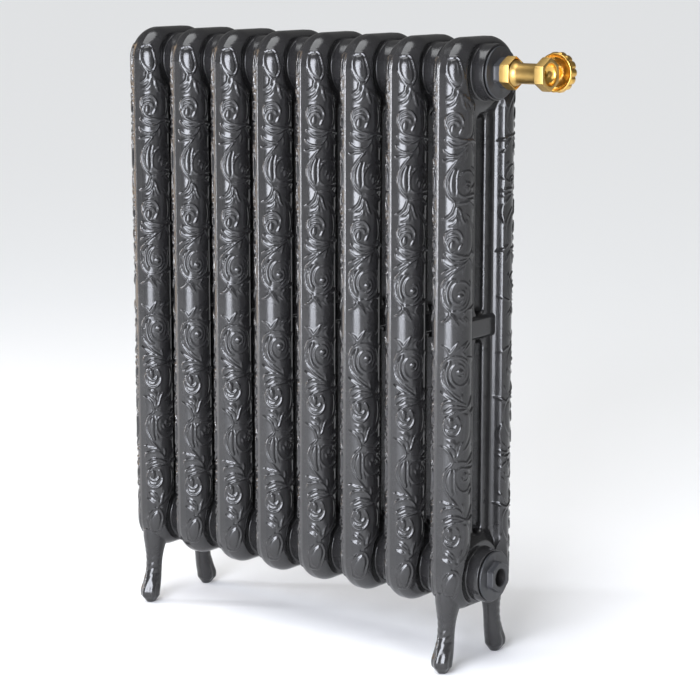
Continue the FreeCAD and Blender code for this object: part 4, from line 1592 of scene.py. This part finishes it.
@dataclass
class ValveBody:
    """Straight body: flared neck, satin barrel, hexagon socket with a dished mouth, bonnet boss."""

    flats: float = 38.0
    barrel: float = 13.3
    neck: float = 14.9
    flare_start: float = 14.0
    flare_length: float = 8.5
    socket_length: float = 12.9
    boss_radius: float = 14.0
    boss_bore: float = 9.0
    boss_end: float = 22.0

    def build(self, palette: Palette) -> None:
        """Makes the body from a turned run and the bonnet boss.

        Args:
            palette: The finishes.
        """
        nut_low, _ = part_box("union_nut")
        low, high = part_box("valve_body")
        wheel_low, wheel_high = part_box("handwheel")
        height = (nut_low.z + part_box("union_nut")[1].z) / 2 / MM
        start, end = low.x / MM - nut_low.x / MM, high.x / MM - nut_low.x / MM
        socket = end - self.socket_length
        corner = self.flats / math.sqrt(3.0)
        neck = ((start, 8.2), (start, self.neck - 0.2), (self.flare_start - 2, self.neck))
        rings = [Ring(along, radius, slot=1) for along, radius in neck]
        rings += [Ring(self.flare_start - 0.2 + self.flare_length * t,
                       self.barrel + (17.0 - self.barrel) * (1 - t) ** 2.2, slot=2)
                  for t in np.linspace(0.0, 0.94, 12)]
        barrel = ((self.flare_start + self.flare_length, self.barrel), (socket - 0.8, self.barrel),
                  (socket - 0.3, self.barrel + 0.2))
        rings += [Ring(along, radius, slot=2) for along, radius in barrel]
        rings += [Ring(socket, self.barrel + 1.4), Ring(socket, 18.6),
                  Ring(socket + 0.15, corner - 1.0, self.flats),
                  Ring(socket + 0.7, corner + 0.5, self.flats),
                  Ring(end - 0.8, corner + 0.5, self.flats), Ring(end - 0.2, corner - 0.3, self.flats - 0.4),
                  Ring(end, corner - 1.1, self.flats - 1.4), Ring(end, 15.3, slot=1),
                  Ring(end - 0.35, 14.7, slot=1)]
        rings += [Ring(end - 0.35 - 9.2 * math.sin(t), 14.7 * math.cos(t) ** 0.8, slot=1)
                  for t in np.linspace(0.06, 1.1, 16)]
        waterway = ((end - 10.0, 5.4), (end - 16.0, 5.2), (start + 3, 8.0))
        rings += [Ring(along, radius, slot=1) for along, radius in waterway]
        run = Turned(rings, Axis.PLUS_X, (nut_low.x / MM, 0.0, height), segments=192).mesh()
        axis = (wheel_low.x + wheel_high.x) / 2 / MM
        skin = ((6.0, self.boss_bore), (6.0, self.boss_radius - 2), (11.0, self.boss_radius),
                (self.boss_end - 0.8, self.boss_radius), (self.boss_end, self.boss_radius - 0.8),
                (self.boss_end, self.boss_bore), (6.0, self.boss_bore))
        boss = [Ring(along, radius, slot=2) for along, radius in skin]
        run.add(Turned(boss, Axis.PLUS_Y, (axis, 0.0, height), segments=96).mesh(), island_shift=5)
        data = run.data("valve_body", [palette["satin"], palette["brass"], palette["satin"]], crease=28)
        dress(place(data, "valve_body_visual"), "radiator", Slot.BRASS, "valve_body")


@dataclass
class Bonnet:
    """Hexagon bonnet with its neck and gland nut."""

    flats: float = 27.0
    boss_end: float = 23.0
    hex_end: float = 30.0
    neck_end: float = 35.0
    nut_end: float = 37.2

    def build(self, palette: Palette) -> None:
        """Makes the bonnet and the gland nut.

        Args:
            palette: The finishes.
        """
        low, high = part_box("bonnet")
        centre = ((low.x + high.x) / 2 / MM, 0.0, (low.z + high.z) / 2 / MM)
        corner = self.flats / math.sqrt(3.0)
        rings = [Ring(18.2, 4.2), Ring(18.2, 8.9), Ring(self.boss_end, 8.9),
                 Ring(self.boss_end, corner - 1.0),
                 Ring(self.boss_end + 0.6, corner + 0.4, self.flats),
                 Ring(self.hex_end - 1.4, corner + 0.4, self.flats),
                 Ring(self.hex_end, corner - 1.8, self.flats), Ring(self.hex_end, 10.4),
                 Ring(self.hex_end + 0.8, 9.2), Ring(self.neck_end - 0.6, 9.0), Ring(self.neck_end, 8.4),
                 Ring(self.neck_end, 4.2)]
        mesh = Turned(rings, Axis.PLUS_Y, centre, segments=144).mesh()
        data = mesh.data("bonnet", [palette["satin"]], crease=30)
        dress(place(data, "bonnet_visual"), "radiator", Slot.BRASS, "bonnet")
        rings = [Ring(30.2, 4.1), Ring(30.2, 5.8), Ring(self.neck_end, 5.8), Ring(self.neck_end, 7.8),
                 Ring(self.neck_end + 0.4, 8.15), Ring(self.nut_end - 0.5, 8.15), Ring(self.nut_end, 7.6),
                 Ring(self.nut_end, 4.1)]
        mesh = Turned(rings, Axis.PLUS_Y, centre, segments=96).mesh()
        data = mesh.data("gland_nut", [palette["brass"]], crease=30)
        dress(place(data, "gland_nut_visual"), "radiator", Slot.BRASS, "gland_nut")


@dataclass
class Handwheel:
    """Dished handwheel with a smooth lip and rounded lobes behind it."""

    radius: float = 26.5
    lobes: int = 14
    lobe_depth: float = 3.2
    rim: Tuple[float, float] = (40.0, 53.0)
    hub: float = 7.5
    hub_start: float = 38.0
    web: Tuple[float, float] = (47.0, 51.0)

    def outline(self, angles: Array, ring: Ring) -> Array:
        """Radius of a ring, scalloped where its thread field is set.

        Args:
            angles: Angles round the wheel.
            ring: The station; its thread field is the depth of the scallops.

        Returns:
            Radii.
        """
        across = np.mod(angles * self.lobes / (2 * math.pi), 1.0) * 2 - 1
        wave = np.sqrt(np.clip(1 - across ** 2 * 0.98, 0, 1))
        return ring.radius - ring.thread * (1 - wave)

    def build(self, palette: Palette) -> None:
        """Makes the wheel and the wheel screw.

        Args:
            palette: The finishes.
        """
        low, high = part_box("handwheel")
        centre = ((low.x + high.x) / 2 / MM, 0.0, (low.z + high.z) / 2 / MM)
        front, back = self.rim
        web_front, web_back = self.web
        r = self.radius
        deep = self.lobe_depth
        rings = [Ring(self.hub_start, 2.6)]
        rings += arc_rings((self.hub_start + 0.8, self.hub - 0.8), 0.8, 180, 90, 4)
        rings += [Ring(web_front - 2.5, self.hub)]
        rings += arc_rings((web_front - 2.5, self.hub + 2.5), 2.5, -90, 0, 6)
        rings += [Ring(web_front, self.hub + 5), Ring(web_front - 0.4, r - 9.5),
                  Ring(web_front - 1.8, r - 6.8), Ring(front + 2.4, r - 4.4), Ring(front + 1.0, r - 3.8)]
        rings += arc_rings((front + 1.2, r - 2.5), 1.2, 200, 90, 7)
        rings += [Ring(front + 2.9, r - 1.2), Ring(front + 3.3, r - 0.9, thread=deep * 0.3),
                  Ring(front + 3.9, r - 0.3, thread=deep * 0.8), Ring(front + 4.8, r, thread=deep),
                  Ring(back - 1.8, r, thread=deep), Ring(back - 0.8, r - 0.4, thread=deep * 0.9),
                  Ring(back - 0.2, r - 1.2, thread=deep * 0.7), Ring(back, r - 2.4, thread=deep * 0.4),
                  Ring(back, r - 4.6), Ring(back - 0.5, r - 5.3), Ring(web_back, r - 7.4),
                  Ring(web_back, 2.6)]
        solid = Turned(rings, Axis.PLUS_Y, centre, segments=224, lobes=self.outline)
        data = solid.mesh().data("handwheel", [palette["brass"]], crease=38)
        dress(place(data, "handwheel_visual"), "handwheel", Slot.BRASS, "handwheel")
        low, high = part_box("wheel_screw")
        tip, head = low.y / MM + 0.1, high.y / MM
        stations = ((tip, 0.0), (tip, 1.9), (head - 2.3, 1.9), (head - 2.3, 4.2), (head - 2.0, 4.45),
                    (head - 1.2, 4.45), (head - 0.5, 3.7), (head - 0.05, 2.0), (head - 0.05, 0.0))
        rings = [Ring(along, radius) for along, radius in stations]
        data = Turned(rings, Axis.PLUS_Y, (centre[0], 0.0, centre[2]), segments=64).mesh().data(
            "wheel_screw", [palette["steel"]], crease=30)
        dress(place(data, "wheel_screw_visual"), "handwheel", Slot.STEEL, "wheel_screw")


# ------------------------------------------------------------------------------------------ studio
@dataclass(frozen=True)
class SoftBox:
    """A rectangular light aimed at a point."""

    name: str
    place: Tuple[float, float, float]
    aim: Tuple[float, float, float]
    size: Tuple[float, float]
    power: float
    colour: Tuple[float, float, float] = (1.0, 1.0, 1.0)

    def build(self) -> None:
        """Adds the light."""
        data = bpy.data.lights.new(self.name, "AREA")
        data.shape = "RECTANGLE"
        data.size, data.size_y = self.size
        data.energy = self.power
        data.color = self.colour
        lamp = bpy.data.objects.new(self.name, data)
        bpy.context.scene.collection.objects.link(lamp)
        lamp.location = self.place
        lamp.rotation_mode = "QUATERNION"
        lamp.rotation_quaternion = (Vector(self.aim) - Vector(self.place)).to_track_quat("-Z", "Y")


@dataclass
class Studio:
    """Pale floor, soft lights and the camera."""

    camera_place: Tuple[float, float, float] = (1.89255, -2.3919, 0.975)
    azimuth: float = 37.93
    pitch: float = 10.6
    lens: float = 114.5
    floor_size: float = 90.0
    floor_colour: Tuple[float, float, float] = (0.88, 0.88, 0.88)

    def direction(self, azimuth: float, distance: float, height: float) -> Tuple[float, float, float]:
        """A place round the object.

        Args:
            azimuth: Degrees from the front, positive towards the valve end.
            distance: Metres from the origin.
            height: Metres above the floor.

        Returns:
            The point.
        """
        a = math.radians(azimuth)
        return (distance * math.sin(a), -distance * math.cos(a), height)

    def build(self) -> None:
        """Adds floor, lights, world and camera."""
        half = self.floor_size / 2
        steps = np.linspace(-half, half, 9)
        x, y = np.meshgrid(steps, steps)
        mesh = Mesh()
        mesh.grid(np.stack([x, y, np.zeros_like(x)], -1) / MM, outward=np.array([0.0, 0.0, 1.0]))
        nodes = Nodes("floor")
        nodes.shader.inputs["Base Color"].default_value = (*self.floor_colour, 1.0)
        nodes.link(nodes.spread(nodes.noise(30.0), 0.75, 0.85), nodes.shader.inputs["Roughness"])
        floor = place(mesh.data("floor", [nodes.material]), "floor")
        floor.location.z = -0.0005
        aim = (0.0, 0.0, 0.45)
        SoftBox("key", self.direction(16.5, 2.6, 0.95), aim, (1.5, 1.9), 160.0, (0.88, 0.91, 1.0)).build()
        SoftBox("left", self.direction(-62, 2.6, 0.85), aim, (0.18, 1.7), 34.0, (0.92, 0.94, 1.0)).build()
        SoftBox("right", self.direction(62, 2.8, 1.7), aim, (0.2, 1.2), 9.0, (0.9, 0.93, 1.0)).build()
        SoftBox("warm", self.direction(-84, 2.2, 0.8), aim, (0.5, 1.7), 7.0, (1.0, 0.72, 0.46)).build()
        sky = bpy.data.lights.new("overhead", "SUN")
        sky.energy, sky.angle = 2.4, math.radians(50)
        sky.color = (0.96, 0.98, 1.0)
        lamp = bpy.data.objects.new("overhead", sky)
        bpy.context.scene.collection.objects.link(lamp)
        lamp.rotation_euler = (math.radians(14), math.radians(-8), 0)
        world = bpy.data.worlds.new("studio")
        world.use_nodes = True
        back = world.node_tree.nodes["Background"]
        back.inputs["Color"].default_value = (1.0, 1.0, 1.0, 1.0)
        back.inputs["Strength"].default_value = 0.19
        bpy.context.scene.world = world
        bpy.context.scene.view_settings.view_transform = "Standard"
        data = bpy.data.cameras.new("camera")
        data.lens = self.lens
        data.sensor_width = 36.0
        data.clip_start, data.clip_end = 0.05, 50.0
        camera = bpy.data.objects.new("camera", data)
        bpy.context.scene.collection.objects.link(camera)
        camera.location = self.camera_place
        a, p = math.radians(self.azimuth), math.radians(self.pitch)
        look = Vector((-math.sin(a) * math.cos(p), math.cos(a) * math.cos(p), -math.sin(p)))
        camera.rotation_mode = "QUATERNION"
        camera.rotation_quaternion = look.to_track_quat("-Z", "Y")
        bpy.context.scene.camera = camera


# ------------------------------------------------------------------------------------------- whole
class Radiator:
    """The whole object: every sub-assembly, then finishes for the CAD nodes that stay."""

    def __init__(self, frame: Dict[str, object]) -> None:
        """Keeps the frame and makes the finishes."""
        self.frame = frame
        self.palette = Palette()

    def build(self) -> None:
        """Builds each sub-assembly over the frame."""
        palette = self.palette
        Row().build(palette)
        HubFitting("top_bushing", 35.5, Axis.PLUS_X, 12.06).build(palette)
        HubFitting("bottom_bushing", 38.0, Axis.PLUS_X, 12.06).build(palette)
        HubFitting("vent_plug", 35.5, Axis.MINUS_X, 6.1).build(palette)
        HubFitting("blind_plug", 38.0, Axis.MINUS_X, 0.0).build(palette)
        for plug in ("top_bushing", "bottom_bushing", "vent_plug", "blind_plug"):
            FlatRing(f"{plug}_gasket", "gasket", Slot.GASKET).build(palette)
        AirVent().build(palette)
        UnionNut().build(palette)
        ValveBody().build(palette)
        Bonnet().build(palette)
        Handwheel().build(palette)
        self.finish_nodes()

    def finish_nodes(self) -> None:
        """Gives the CAD nodes that are still shown their procedural finish."""
        slots = {row["node"]: row["material_slot"] for row in self.frame["record"]["subparts"]}
        for name, node in self.frame["nodes"].items():
            slot = slots[name]
            node.data.materials.clear()
            node.data.materials.append(self.palette[self.palette.by_slot[slot]])


def corners(bounds: Tuple[Vector, Vector]) -> List[List[float]]:
    """Plain lists for a pair of corners.

    Args:
        bounds: Lowest and highest corner.

    Returns:
        Two lists of three numbers.
    """
    return [[round(float(v), 6) for v in corner] for corner in bounds]


def main() -> None:
    """Loads the frame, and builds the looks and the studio."""
    logging.basicConfig(level=logging.INFO, format="%(name)s: %(message)s")
    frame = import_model()
    Radiator(frame).build()
    Studio().build()


if __name__ == "__main__":
    main()
